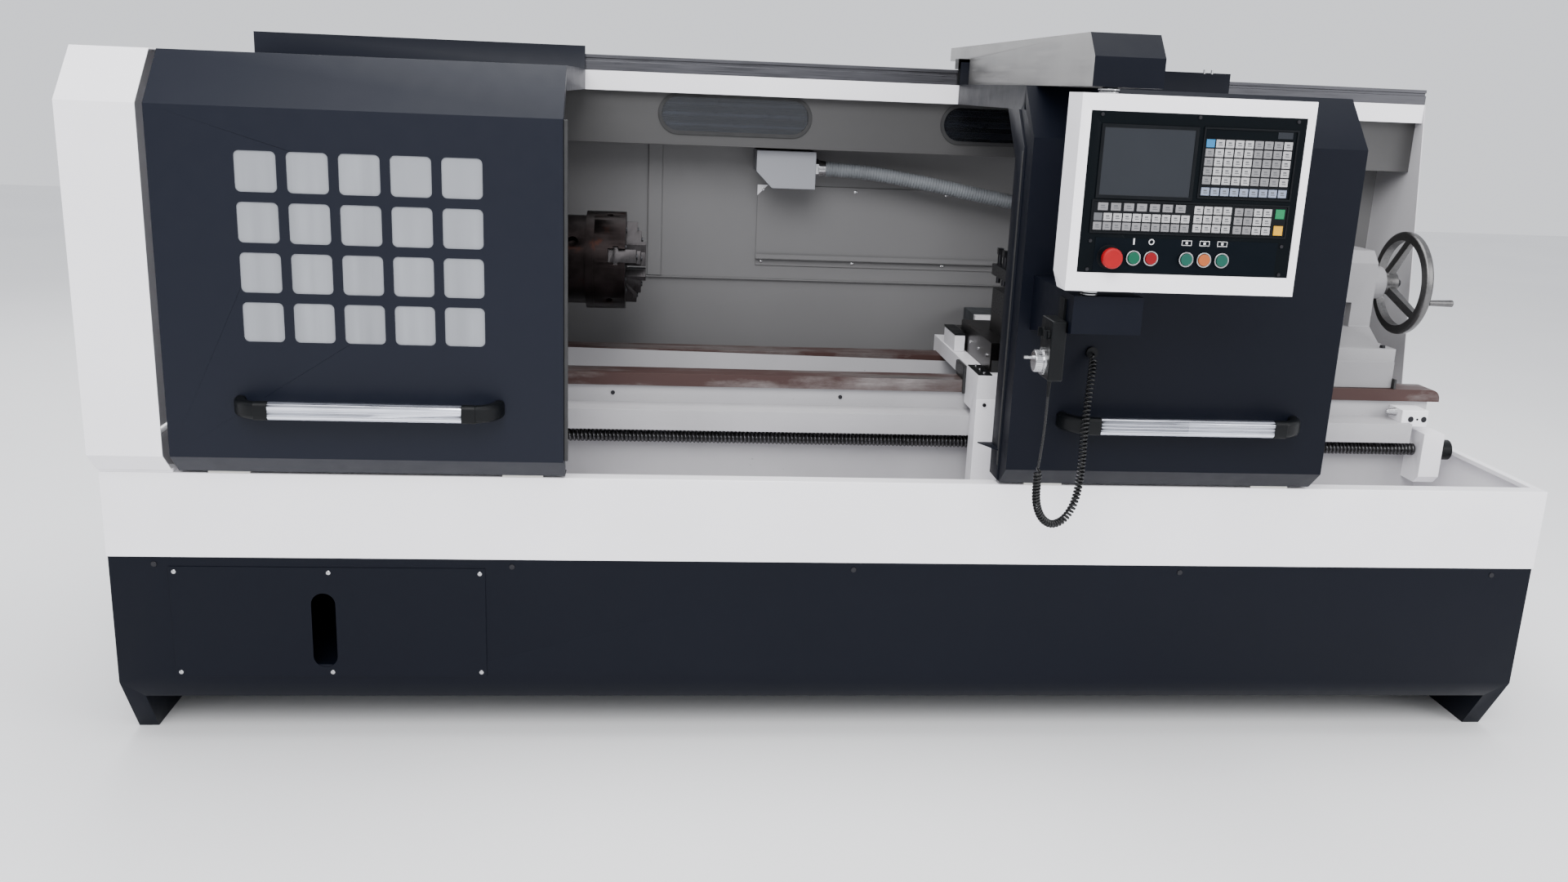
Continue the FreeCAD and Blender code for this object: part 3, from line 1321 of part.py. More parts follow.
def pulse_dial():
    """Graduated disc and knob with a short crank peg."""
    x1 = unit_left_x - slide_gap
    disc = rod_x(x1 - dial_thick, x1, dial_y, dial_z, dial_radius)
    peg_x = x1 - dial_thick - knob_height
    knob = rod_x(peg_x, x1 - dial_thick, dial_y, dial_z, knob_radius)
    knob = knob.makeFillet(2.0, [e for e in knob.Edges if e.CenterOfMass.x < peg_x + 0.1])
    peg = rod_x(peg_x - stub_length, peg_x, dial_y, dial_z + stub_offset / 2, stub_radius)
    shaft = rod_x(x1, unit_left_x + 10.0, dial_y, dial_z, 4.0)
    return join(disc, knob, peg, shaft)


def selector(index):
    x1 = unit_left_x - slide_gap
    y = selector_ys[index]
    knob = rod_x(x1 - selector_height * 0.4, x1, y, selector_z, selector_radius)
    grip = block(x1 - selector_height, x1, y - 3.0, y + 3.0, selector_z - selector_radius * 0.95,
                 selector_z + selector_radius * 0.95)
    shaft = rod_x(x1, unit_left_x + 7.0, y, selector_z, 3.0)
    return join(knob, grip, shaft)


def lead_grommet():
    """Gland on the door that the curly lead goes into."""
    x, _, z = curl_route[-1]
    gland = rod_y(door_front_y - grommet_length, door_front_y, x, z, grommet_radius)
    sleeve = rod_y(door_front_y, door_front_y + sheet + 4.0, x, z, grommet_radius - 4.0)
    return join(gland, sleeve)


# ---------------------------------------------------------------- build and write
nodes = {
    "base_frame": base_frame(),
    "access_cover": access_cover(),
    "panel_screws": panel_screws(),
    "chip_pan": chip_pan(),
    "bed": bed(),
    "headstock": headstock(),
    "spindle": spindle(),
    "chuck_plate": chuck_plate(),
    "chuck_body": chuck_body(),
    "main_motor": main_motor(),
    "motor_pulley": motor_pulley(),
    "drive_belt": drive_belt(),
    "z_ball_screw": z_ball_screw(),
    "screw_supports": screw_supports(),
    "z_motor": z_motor(),
    "carriage": carriage(),
    "x_motor": x_motor(),
    "x_ball_screw": x_ball_screw(),
    "cross_slide": cross_slide(),
    "turret_base": turret_base(),
    "turret_head": turret_head(),
    "tailstock": tailstock(),
    "quill": quill(),
    "tail_handwheel": tail_handwheel(),
    "wheel_crank": wheel_crank(),
    "left_door_panel": left_door_panel(),
    "left_door_window": left_door_window(),
    "left_door_handle": door_handle(left_handle_x),
    "left_door_slides": door_slides(left_door_left_x, left_door_right_x),
    "right_door_panel": right_door_panel(),
    "right_door_handle": door_handle(right_handle_x),
    "right_door_slides": door_slides(right_door_left_x, right_door_right_x),
    "end_cover": end_cover(),
    "lamp_beam": lamp_beam(),
    "door_rail": door_rail(),
    "rear_guard": rear_guard(),
    "junction_box": junction_box(),
    "conduit": cord_tube("conduit", conduit_route, conduit_radius),
    "electrical_cabinet": electrical_cabinet(),
    "cabinet_door": cabinet_door(),
    "pendant_arm": pendant_arm(),
    "lower_bracket": lower_bracket(),
    "pendant_shell": pendant_shell(),
    "control_plate": control_plate(),
    "emergency_stop": emergency_stop(),
    "pulse_unit": pulse_unit(),
    "pulse_dial": pulse_dial(),
    "lead": cord_tube("lead", lead_route, lead_radius),
    "curly_lead": cord_tube("curly_lead", curl_route, curl_radius),
    "lead_grommet": lead_grommet(),
}
for jaw_index in range(3):
    nodes[f"chuck_jaw_{jaw_index + 1}"] = chuck_jaw(jaw_index)
for button_index in range(len(button_xs)):
    nodes[f"push_button_{button_index + 1}"] = push_button(button_index)
for selector_index in range(len(selector_ys)):
    nodes[f"selector_{selector_index + 1}"] = selector(selector_index)

front_most_y = pendant_front_y - stop_front
back_most_y = (pan_depth + cabinet_depth + cabinet_door_gap + cabinet_door_thick
               + cabinet_handle_depth)
centring = V(0, -(front_most_y + back_most_y) / 2, 0)

os.makedirs("parts", exist_ok=True)
for name, shape in nodes.items():
    shape.translate(centring)
    shape.exportStep(f"parts/{name}.step")
    print(name, len(shape.Solids), shape.isValid(), round(shape.Volume / 1e6, 3), "litres")
print("nodes", len(nodes), "centring", centring)
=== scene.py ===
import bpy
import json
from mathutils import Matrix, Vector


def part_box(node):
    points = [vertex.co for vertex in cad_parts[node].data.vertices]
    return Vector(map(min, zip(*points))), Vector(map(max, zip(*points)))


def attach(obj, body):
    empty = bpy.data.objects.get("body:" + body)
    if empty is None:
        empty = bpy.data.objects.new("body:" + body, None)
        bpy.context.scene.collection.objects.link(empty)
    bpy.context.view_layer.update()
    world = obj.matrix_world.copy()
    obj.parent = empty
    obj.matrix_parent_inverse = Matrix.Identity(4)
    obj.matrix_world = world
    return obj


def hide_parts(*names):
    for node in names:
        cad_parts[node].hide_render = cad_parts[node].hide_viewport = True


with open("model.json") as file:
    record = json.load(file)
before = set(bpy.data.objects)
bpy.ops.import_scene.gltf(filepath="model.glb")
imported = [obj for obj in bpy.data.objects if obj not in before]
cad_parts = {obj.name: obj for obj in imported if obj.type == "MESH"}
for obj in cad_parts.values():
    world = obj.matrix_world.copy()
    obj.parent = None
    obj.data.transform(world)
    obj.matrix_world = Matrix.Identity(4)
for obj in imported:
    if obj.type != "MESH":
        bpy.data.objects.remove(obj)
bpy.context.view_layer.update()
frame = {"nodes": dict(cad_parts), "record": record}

import json
from math import copysign, cos, hypot, pi, radians, sin, tau

import bmesh
import bpy
from bpy.props import FloatProperty, FloatVectorProperty, IntProperty, PointerProperty
from mathutils import Matrix, Vector

bl_info = {
    "name": "Turning lathe finishes",
    "version": (1, 0, 0),
    "blender": (4, 5, 0),
    "location": "View3D > Sidebar > Lathe",
    "description": "Paint, castings, controls, cords and small fittings for a turning lathe",
    "category": "Object",
}

FRONT_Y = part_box("chip_pan")[0][1]
WALL_Y = FRONT_Y + 0.960
WAY_INNER, WAY_OUTER = FRONT_Y + 0.463, FRONT_Y + 0.709
PLATE_RECESS = 0.003
FILM_WIDTH = 36.0


def at(x, y, z):
    """Point by its distance along the bed, behind the pan's front face, and above the floor."""
    return Vector((x, FRONT_Y + y, z))


# ---------------------------------------------------------------- settings
def length(name, description, value):
    return FloatProperty(name=name, description=description, default=value, subtype="DISTANCE",
                         unit="LENGTH")


def tint(name, description, value):
    return FloatVectorProperty(name=name, description=description, default=value, subtype="COLOR", size=3)


class LatheSizes(bpy.types.PropertyGroup):
    sheet_round: length("Sheet edge", "Round on folded sheet edges", 0.0012)
    casting_round: length("Casting edge", "Round on cast and machined edges", 0.0025)
    key_width: length("Key width", "Width of a membrane key", 0.0168)
    key_height: length("Key height", "Height of a membrane key", 0.0150)
    key_rise: length("Key rise", "How far a key stands off its pad", 0.0011)
    screw_lead: length("Screw lead", "Lead of the long feed screw's thread", 0.010)
    rib_pitch: length("Hose rib pitch", "Distance between the hose's ribs", 0.0078)
    coil_pitch: length("Coil pitch", "Distance between slack turns of the lead", 0.0080)
    louvres: IntProperty(name="Louvres", description="Louvres in each bank on the rear door", default=14,
                         min=1)


class LatheColours(bpy.types.PropertyGroup):
    navy: tint("Navy", "Paint of the left door", (0.0050, 0.0066, 0.0128))
    deep: tint("Deep navy", "Paint of the base, the right door and brackets", (0.0028, 0.0038, 0.0078))
    white: tint("White", "Paint of the pan, covers and pendant", (0.90, 0.885, 0.915))
    # Grey of the guard's own paint, darkened further as painted shade for the shade under the guard roof.
    wall: tint("Wall", "Paint inside the work zone", (0.135, 0.133, 0.135))
    grease: tint("Grease", "Rust preventive on the ways and slides", (0.046, 0.019, 0.016))


def sizes():
    return bpy.context.scene.lathe_sizes


def colours():
    return bpy.context.scene.lathe_colours


# ---------------------------------------------------------------- finishes
class Finish:
    """Small helper round one procedural material."""

    def __init__(self, name):
        self.material = bpy.data.materials.new(name)
        self.material.use_nodes = True
        self.tree = self.material.node_tree
        self.shader = self.tree.nodes["Principled BSDF"]
        coordinates = self.tree.nodes.new("ShaderNodeTexCoord")
        self.place = coordinates.outputs["Object"]

    def node(self, kind, **values):
        node = self.tree.nodes.new(kind)
        for key, value in values.items():
            setattr(node, key, value)
        return node

    def link(self, start, end):
        self.tree.links.new(start, end)

    def stretched(self, scale):
        mapping = self.node("ShaderNodeMapping")
        mapping.inputs["Scale"].default_value = scale
        self.link(self.place, mapping.inputs["Vector"])
        return mapping.outputs["Vector"]

    def noise(self, scale, detail=3.0, rough=0.55, vector=None):
        noise = self.node("ShaderNodeTexNoise")
        noise.inputs["Scale"].default_value = scale
        noise.inputs["Detail"].default_value = detail
        noise.inputs["Roughness"].default_value = rough
        self.link(vector or self.place, noise.inputs["Vector"])
        return noise.outputs["Fac"]

    def ranged(self, value, low, high, out_low=0.0, out_high=1.0):
        ranged = self.node("ShaderNodeMapRange")
        for key, number in (("From Min", low), ("From Max", high), ("To Min", out_low),
                            ("To Max", out_high)):
            ranged.inputs[key].default_value = number
        self.link(value, ranged.inputs["Value"])
        return ranged.outputs["Result"]

    def blended(self, factor, first, second):
        mix = self.node("ShaderNodeMix", data_type="RGBA")
        self.link(factor, mix.inputs["Factor"])
        for socket, colour in ((mix.inputs["A"], first), (mix.inputs["B"], second)):
            if isinstance(colour, bpy.types.NodeSocket):
                self.link(colour, socket)
            else:
                socket.default_value = (*colour, 1.0)
        return mix.outputs["Result"]

    def times(self, first, second):
        multiply = self.node("ShaderNodeMath", operation="MULTIPLY")
        self.link(first, multiply.inputs[0])
        self.link(second, multiply.inputs[1])
        return multiply.outputs["Value"]

    def relief(self, height, depth, strength=0.6):
        bump = self.node("ShaderNodeBump")
        bump.inputs["Strength"].default_value = strength
        bump.inputs["Distance"].default_value = depth
        self.link(height, bump.inputs["Height"])
        if self.shader.inputs["Normal"].is_linked:
            self.link(self.shader.inputs["Normal"].links[0].from_socket, bump.inputs["Normal"])
        self.link(bump.outputs["Normal"], self.shader.inputs["Normal"])

    def colour(self, socket):
        self.link(socket, self.shader.inputs["Base Color"])

    def roughness(self, socket):
        self.link(socket, self.shader.inputs["Roughness"])


def shade(colour, amount):
    return tuple(min(1.0, max(0.0, part * amount)) for part in colour)


def paint(name, colour, rough=0.38, grain=420.0, depth=0.00012, dirt=0.12, gloss=0.5):
    """Sprayed paint with a fine orange peel, faint clouding and handling marks."""
    finish = Finish(name)
    clouds = finish.noise(2.3, 4.0)
    tone = finish.blended(finish.ranged(clouds, 0.3, 0.7), shade(colour, 0.96), shade(colour, 1.04))
    smears = finish.ranged(finish.noise(5.0, 8.0, 0.7, finish.stretched((1.0, 1.0, 0.35))), 0.62, 0.80)
    marks = finish.ranged(smears, 0.0, 1.0, 0.0, dirt)
    finish.colour(finish.blended(marks, tone, shade(colour, 0.55)))
    finish.roughness(finish.ranged(finish.noise(26.0, 5.0), 0.3, 0.7, rough * 0.93, rough * 1.10))
    finish.relief(finish.noise(grain, 2.0), depth, 0.5)
    finish.shader.inputs["Specular IOR Level"].default_value = gloss
    return finish.material


def cast_paint(name, colour, rough=0.42):
    """Filler-smoothed casting paint, a little uneven, with small chips of grime."""
    finish = Finish(name)
    tone = finish.blended(finish.ranged(finish.noise(3.0, 5.0), 0.3, 0.7), shade(colour, 0.90),
                          shade(colour, 1.04))
    specks = finish.ranged(finish.noise(60.0, 4.0, 0.6), 0.70, 0.76, 0.0, 0.55)
    finish.colour(finish.blended(specks, tone, shade(colour, 0.30)))
    finish.roughness(finish.ranged(finish.noise(9.0, 4.0), 0.3, 0.7, rough * 0.8, rough * 1.3))
    finish.relief(finish.noise(34.0, 5.0), 0.0006, 0.45)
    finish.relief(finish.noise(300.0, 2.0), 0.0001, 0.4)
    return finish.material


def machined(name, colour, rough, stretch, scale=260.0, grease=None, cover=(0.48, 0.62), metal=1.0):
    """Ground or brushed metal; grease lies on it in streaks where a colour is given."""
    finish = Finish(name)
    lines = finish.noise(scale, 2.0, 0.5, finish.stretched(stretch))
    blotch = finish.noise(6.0, 4.0)
    tone = finish.blended(finish.ranged(blotch, 0.3, 0.7), shade(colour, 0.80), shade(colour, 1.1))
    tone = finish.blended(finish.ranged(lines, 0.3, 0.7), tone, shade(colour, 1.25))
    finish.shader.inputs["Metallic"].default_value = metal
    if grease:
        streak = finish.noise(9.0, 7.0, 0.68, finish.stretched(tuple(0.25 + 0.75 * s for s in stretch)))
        film = finish.ranged(streak, cover[0], cover[1])
        finish.colour(finish.blended(film, tone, grease))
        bare = finish.ranged(film, 0.0, 1.0, metal, metal * 0.25)
        finish.link(bare, finish.shader.inputs["Metallic"])
        finish.roughness(finish.ranged(film, 0.0, 1.0, rough, rough + 0.22))
        finish.relief(streak, 0.0006, 0.3)
    else:
        finish.colour(tone)
        finish.roughness(finish.ranged(lines, 0.25, 0.75, rough * 0.75, rough * 1.3))
    finish.relief(lines, 0.00008, 0.35)
    return finish.material


def turned(name, colour, rough, centre, grease=None, cover=(0.5, 0.7), metal=1.0):
    """Lathe-turned metal with fine rings round an axis along the bed."""
    finish = Finish(name)
    mapping = finish.node("ShaderNodeMapping")
    mapping.inputs["Location"].default_value = tuple(-part for part in centre)
    finish.link(finish.place, mapping.inputs["Vector"])
    split = finish.node("ShaderNodeSeparateXYZ")
    finish.link(mapping.outputs["Vector"], split.inputs["Vector"])
    flat = finish.node("ShaderNodeCombineXYZ")
    finish.link(split.outputs["Y"], flat.inputs["Y"])
    finish.link(split.outputs["Z"], flat.inputs["Z"])
    reach = finish.node("ShaderNodeVectorMath", operation="LENGTH")
    finish.link(flat.outputs["Vector"], reach.inputs[0])
    ring = finish.node("ShaderNodeCombineXYZ")
    finish.link(reach.outputs["Value"], ring.inputs["X"])
    finish.link(split.outputs["X"], ring.inputs["Y"])
    rings = finish.noise(900.0, 1.0, 0.5, ring.outputs["Vector"])
    blotch = finish.noise(16.0, 5.0, 0.6)
    tone = finish.blended(finish.ranged(blotch, 0.35, 0.65), shade(colour, 0.6), shade(colour, 1.3))
    finish.shader.inputs["Metallic"].default_value = metal
    if grease:
        film = finish.ranged(finish.noise(24.0, 6.0, 0.65), cover[0], cover[1])
        tone = finish.blended(film, tone, grease)
    finish.colour(tone)
    finish.roughness(finish.ranged(blotch, 0.3, 0.7, rough * 0.8, rough * 1.35))
    finish.relief(rings, 0.00009, 0.4)
    return finish.material


def moulded(name, colour, rough=0.45, grain=900.0, depth=0.00006, gloss=0.5):
    """Moulded plastic or rubber with a fine skin."""
    finish = Finish(name)
    tone = finish.ranged(finish.noise(18.0, 4.0), 0.3, 0.7)
    finish.colour(finish.blended(tone, shade(colour, 0.86), shade(colour, 1.1)))
    finish.roughness(finish.ranged(finish.noise(40.0, 4.0), 0.3, 0.7, rough * 0.85, rough * 1.2))
    finish.relief(finish.noise(grain, 2.0), depth, 0.4)
    finish.shader.inputs["Specular IOR Level"].default_value = gloss
    return finish.material


def frosted(name, colour):
    """Diffusing plastic glazing with faint upright draw lines and a smeared surface."""
    finish = Finish(name)
    lines = finish.noise(30.0, 3.0, 0.5, finish.stretched((1.0, 1.0, 0.06)))
    tone = finish.blended(finish.ranged(lines, 0.25, 0.75), shade(colour, 0.72), shade(colour, 1.18))
    clouds = finish.ranged(finish.noise(3.2, 4.0), 0.3, 0.7)
    finish.colour(finish.blended(clouds, tone, shade(colour, 0.95)))
    finish.roughness(finish.ranged(lines, 0.3, 0.7, 0.28, 0.45))
    finish.relief(lines, 0.0002, 0.25)
    finish.shader.inputs["Transmission Weight"].default_value = 0.12
    return finish.material


def glassy(name, colour, rough=0.06, transmission=0.9):
    finish = Finish(name)
    tone = finish.ranged(finish.noise(7.0, 3.0), 0.3, 0.7)
    finish.colour(finish.blended(tone, shade(colour, 0.9), shade(colour, 1.08)))
    finish.roughness(finish.ranged(finish.noise(22.0, 5.0), 0.35, 0.75, rough * 0.7, rough * 1.8))
    finish.shader.inputs["Transmission Weight"].default_value = transmission
    finish.shader.inputs["IOR"].default_value = 1.49
    return finish.material


finishes = {}


# ---------------------------------------------------------------- meshes
def add_box(bm, low, high):
    matrix = Matrix.Translation((Vector(low) + Vector(high)) / 2) @ Matrix.Diagonal(
        (*(Vector(high) - Vector(low)), 1.0))
    bmesh.ops.create_cube(bm, size=1.0, matrix=matrix)


def add_rod(bm, start, end, radius, end_radius=None, sides=32):
    axis = Vector(end) - Vector(start)
    matrix = (Matrix.Translation((Vector(start) + Vector(end)) / 2)
              @ axis.to_track_quat("Z", "Y").to_matrix().to_4x4())
    bmesh.ops.create_cone(bm, cap_ends=True, segments=sides, radius1=radius,
                          radius2=radius if end_radius is None else end_radius,
                          depth=axis.length, matrix=matrix)


def add_outline(bm, outline, direction):
    """Closed prism: a ring of points pushed along a direction."""
    base = [bm.verts.new(point) for point in outline]
    top = [bm.verts.new(Vector(point) + Vector(direction)) for point in outline]
    faces = [bm.faces.new(base), bm.faces.new(top[::-1])]
    count = len(outline)
    for index in range(count):
        after = (index + 1) % count
        faces.append(bm.faces.new((base[after], base[index], top[index], top[after])))
    bmesh.ops.recalc_face_normals(bm, faces=faces)


def add_loop(bm, outer, inner, direction):
    """Flat frame between two rings of points, with a thickness."""
    rings = [[bm.verts.new(p) for p in ring] for ring in (outer, inner)]
    rings += [[bm.verts.new(Vector(p) + Vector(direction)) for p in ring] for ring in (outer, inner)]
    faces = []
    count = len(outer)
    for index in range(count):
        after = (index + 1) % count
        for a, b in ((0, 1), (3, 2), (2, 0), (1, 3)):
            faces.append(bm.faces.new((rings[a][index], rings[b][index], rings[b][after],
                                       rings[a][after])))
    bmesh.ops.recalc_face_normals(bm, faces=faces)


def circle(centre, radius, count, across=(1, 0, 0), up=(0, 0, 1)):
    """Ring of points round a centre, in an upright plane unless told otherwise."""
    ring = []
    for index in range(count):
        angle = tau * index / count
        ring.append(Vector(centre) + Vector(across) * (radius * cos(angle))
                    + Vector(up) * (radius * sin(angle)))
    return ring


def upright(x0, x1, z0, z1, y):
    """Four corners of an upright rectangle."""
    return [Vector((x, y, z)) for x, z in ((x0, z0), (x1, z0), (x1, z1), (x0, z1))]


def stadium(centre, length, height, y, steps=16):
    """Ring of points round a slot with round ends, in an upright plane."""
    radius = height / 2
    ring = []
    for side in (1, -1):
        for step in range(steps + 1):
            angle = side * (pi / 2) - pi * step / steps if side == 1 else (
                -pi / 2 - pi * step / steps)
            x = centre[0] + side * (length / 2 - radius) + radius * cos(angle)
            ring.append(Vector((x, y, centre[1] + radius * sin(angle))))
    return ring


def finished(name, bm, finish, body, rounding=0.0, segments=2, smooth=38.0):
    """Object from a bmesh with rounded edges, riding on a body."""
    mesh = bpy.data.meshes.new(name)
    bm.normal_update()
    bm.to_mesh(mesh)
    bm.free()
    return dressed(name, mesh, finish, body, rounding, segments, smooth)


def boxes(name, finish, body, slot, rounding, *corners):
    """Object made of boxes, each given by its low and its high corner."""
    bm = bmesh.new()
    for low, high in corners:
        add_box(bm, low, high)
    return finished(name, bm, finish, body, rounding)


def dressed(name, mesh, finish, body, rounding=0.0, segments=2, smooth=38.0):
    mesh.name = name
    if finish:
        mesh.materials.clear()
        mesh.materials.append(finishes[finish])
    mesh.polygons.foreach_set("use_smooth", [True] * len(mesh.polygons))
    mesh.set_sharp_from_angle(angle=radians(smooth))
    piece = bpy.data.objects.new(name, mesh)
    bpy.context.scene.collection.objects.link(piece)
    if rounding:
        bevel = piece.modifiers.new("rounding", "BEVEL")
        bevel.width = rounding
        bevel.segments = segments
        bevel.limit_method = "ANGLE"
        bevel.angle_limit = radians(40)
        bevel.harden_normals = True
        bevel.miter_outer = "MITER_ARC"
    if body:
        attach(piece, body)
    return piece


def body_of_node(node):
    for body, members in frame["record"]["behaviour"]["bodies"].items():
        if node in members:
            return body
    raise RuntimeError(f"{node} is in no body")


def refined(node, rounding, finish, choose=None, others=()):
    """The node's own shape with merged faces and rounded edges, in place of the node."""
    bm = bmesh.new()
    bm.from_mesh(frame["nodes"][node].data)
    bmesh.ops.remove_doubles(bm, verts=bm.verts, dist=1e-5)
    bmesh.ops.dissolve_limit(bm, angle_limit=radians(0.6), verts=bm.verts, edges=bm.edges)
    bmesh.ops.triangulate(bm, faces=[f for f in bm.faces if len(f.verts) > 4])
    bmesh.ops.join_triangles(bm, faces=bm.faces, angle_face_threshold=radians(1),
                             angle_shape_threshold=radians(180))
    if choose:
        bm.normal_update()
        for face in bm.faces:
            face.material_index = choose(face.calc_center_median(), face.normal)
    piece = finished(f"{node}_body", bm, None, body_of_node(node), rounding)
    for name in (finish, *others):
        piece.data.materials.append(finishes[name])
    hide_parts(node)
    return piece


def cad_finish(finish, *names):
    """Finish on nodes that keep their CAD mesh."""
    for name in names:
        node = frame["nodes"][name]
        if not node.material_slots:
            node.data.materials.append(finishes[finish])
        for slot in node.material_slots:
            slot.material = finishes[finish]


# ---------------------------------------------------------------- repeats
def pattern_tree(shape):
    """Node tree that sets copies of one piece on a grid or a ring of points."""
    tree = bpy.data.node_groups.new(f"{shape}_of_pieces", "GeometryNodeTree")
    for name, kind in (("Piece", "NodeSocketObject"), ("Across", "NodeSocketInt"),
                       ("Up", "NodeSocketInt"), ("Width", "NodeSocketFloat"),
                       ("Height", "NodeSocketFloat"), ("Turn", "NodeSocketVector"),
                       ("Centre", "NodeSocketVector"), ("Finish", "NodeSocketMaterial")):
        tree.interface.new_socket(name, in_out="INPUT", socket_type=kind)
    tree.interface.new_socket("Geometry", in_out="OUTPUT", socket_type="NodeSocketGeometry")
    def added(kind):
        return tree.nodes.new(kind)

    start, end = added("NodeGroupInput"), added("NodeGroupOutput")
    spread = added("GeometryNodeInstanceOnPoints")
    if shape == "grid":
        points = added("GeometryNodeMeshGrid")
        links = [(start, name, points, socket)
                 for name, socket in (("Across", "Vertices X"), ("Up", "Vertices Y"), ("Width", "Size X"),
                                      ("Height", "Size Y"))]
    else:
        points = added("GeometryNodeMeshCircle")
        links = [(start, "Across", points, "Vertices"), (start, "Width", points, "Radius")]
    source = added("GeometryNodeObjectInfo")
    solid = added("GeometryNodeRealizeInstances")
    move = added("GeometryNodeTransform")
    coat = added("GeometryNodeSetMaterial")
    links += [(start, "Piece", source, "Object"), (points, "Mesh", spread, "Points"),
              (source, "Geometry", spread, "Instance"), (spread, "Instances", solid, "Geometry"),
              (solid, "Geometry", move, "Geometry"), (start, "Turn", move, "Rotation"),
              (start, "Centre", move, "Translation"), (move, "Geometry", coat, "Geometry"),
              (start, "Finish", coat, "Material"), (coat, "Geometry", end, "Geometry")]
    for before, output, after, socket in links:
        tree.links.new(before.outputs[output], after.inputs[socket])
    return tree


trees = {}


def repeated(name, bm, shape, values, finish, body):
    """Copies of a small piece, made one plain mesh. The piece's own up axis points outwards."""
    if shape not in trees:
        trees[shape] = pattern_tree(shape)
    tree = trees[shape]
    mesh = bpy.data.meshes.new(f"{name}_pattern")
    bm.to_mesh(mesh)
    bm.free()
    pattern = bpy.data.objects.new(f"{name}_pattern", mesh)
    bpy.context.scene.collection.objects.link(pattern)
    host = bpy.data.objects.new(f"{name}_host", bpy.data.meshes.new(f"{name}_host"))
    bpy.context.scene.collection.objects.link(host)
    modifier = host.modifiers.new("pattern", "NODES")
    modifier.node_group = tree
    named = {item.name: item.identifier for item in tree.interface.items_tree
             if item.item_type == "SOCKET" and item.in_out == "INPUT"}
    modifier[named["Piece"]] = pattern
    modifier[named["Finish"]] = finishes[finish]
    for key, value in values.items():
        modifier[named[key]] = value
    graph = bpy.context.evaluated_depsgraph_get()
    mesh = bpy.data.meshes.new_from_object(host.evaluated_get(graph))
    bpy.data.objects.remove(host)
    bpy.data.objects.remove(pattern)
    mesh.materials.clear()
    return dressed(name, mesh, finish, body)


FACE_FRONT = (pi / 2, 0.0, 0.0)
FACE_UP = (0.0, 0.0, 0.0)
FACE_BACK = (-pi / 2, 0.0, 0.0)
FACE_LEFT = (pi / 2, 0.0, -pi / 2)


def grid_of(name, bm, centre, across, up, width, height, finish, body, turn=FACE_FRONT):
    """Pieces on a grid that faces the front, or another way where a turn is given."""
    return repeated(name, bm, "grid", {"Across": across, "Up": up, "Width": width, "Height": height,
                                       "Turn": turn, "Centre": tuple(centre)}, finish, body)


def ring_along_bed(name, bm, centre, count, radius, finish, body, side=1):
    """Pieces on a ring round a line along the bed, facing along it."""
    return repeated(name, bm, "ring", {"Across": count, "Up": 1, "Width": radius, "Height": 0.0,
                                       "Turn": (0.0, side * pi / 2, 0.0), "Centre": tuple(centre)},
                    finish, body)


def socket_screw(radius, height):
    """Small cap screw with a hexagon socket, head up along Z from 0."""
    bm = bmesh.new()
    add_rod(bm, (0, 0, 0), (0, 0, height), radius, radius * 0.93, 20)
    add_rod(bm, (0, 0, height * 0.99), (0, 0, height * 1.04), radius * 0.5, sides=6)
    return bm


def dome_screw(radius, height):
    bm = bmesh.new()
    add_rod(bm, (0, 0, 0), (0, 0, height * 0.5), radius, radius * 0.95, 20)
    add_rod(bm, (0, 0, height * 0.5), (0, 0, height), radius * 0.95, radius * 0.45, 20)
    add_box(bm, (-radius * 0.55, -radius * 0.12, height * 0.9),
            (radius * 0.55, radius * 0.12, height * 1.02))
    return bm


def smooth_curve(name, points, resolution):
    """Curve that starts and ends on its first and last points."""
    curve = bpy.data.curves.new(name, "CURVE")
    curve.dimensions = "3D"
    curve.resolution_u = resolution
    spline = curve.splines.new("NURBS")
    spline.points.add(len(points) - 1)
    for slot, point in zip(spline.points, points):
        slot.co = (*point, 1.0)
    spline.order_u = 3
    spline.use_endpoint_u = True
    return curve


def route_points(points):
    """Evenly read points along the smooth line that a cord's route gives."""
    line = smooth_curve("route", points, 24)
    carrier = bpy.data.objects.new("route", line)
    bpy.context.scene.collection.objects.link(carrier)
    mesh = bpy.data.meshes.new_from_object(carrier.evaluated_get(bpy.context.evaluated_depsgraph_get()))
    read = [vertex.co.copy() for vertex in mesh.vertices]
    bpy.data.objects.remove(carrier)
    return read


def path_length(points):
    return sum((b - a).length for a, b in zip(points, points[1:]))


def resampled(points, step):
    """Points at an even step along a polyline, ends kept."""
    total = path_length(points)
    count = max(2, round(total / step))
    wanted = [total * index / count for index in range(count + 1)]
    result, walked, index = [], 0.0, 0
    for distance in wanted:
        while index < len(points) - 2 and walked + (points[index + 1] - points[index]).length < distance:
            walked += (points[index + 1] - points[index]).length
            index += 1
        span = (points[index + 1] - points[index]).length
        share = min(1.0, max(0.0, (distance - walked) / span))
        result.append(points[index].lerp(points[index + 1], share))
    return result


def moving_frames(points):
    """A side and an up direction at each point, carried along without twist."""
    frames = []
    side = None
    for index in range(len(points)):
        ahead = points[min(index + 1, len(points) - 1)] - points[max(index - 1, 0)]
        ahead.normalize()
        if side is None:
            side = ahead.orthogonal().normalized()
        side = (side - ahead * side.dot(ahead)).normalized()
        frames.append((side.copy(), ahead.cross(side)))
    return frames


def skin(bm, rings):
    """Faces between rings of as many points each, closed at both ends."""
    count = len(rings[0])
    for first, second in zip(rings, rings[1:]):
        for index in range(count):
            after = (index + 1) % count
            bm.faces.new((first[index], first[after], second[after], second[index]))
    bm.faces.new(rings[0][::-1])
    bm.faces.new(rings[-1])


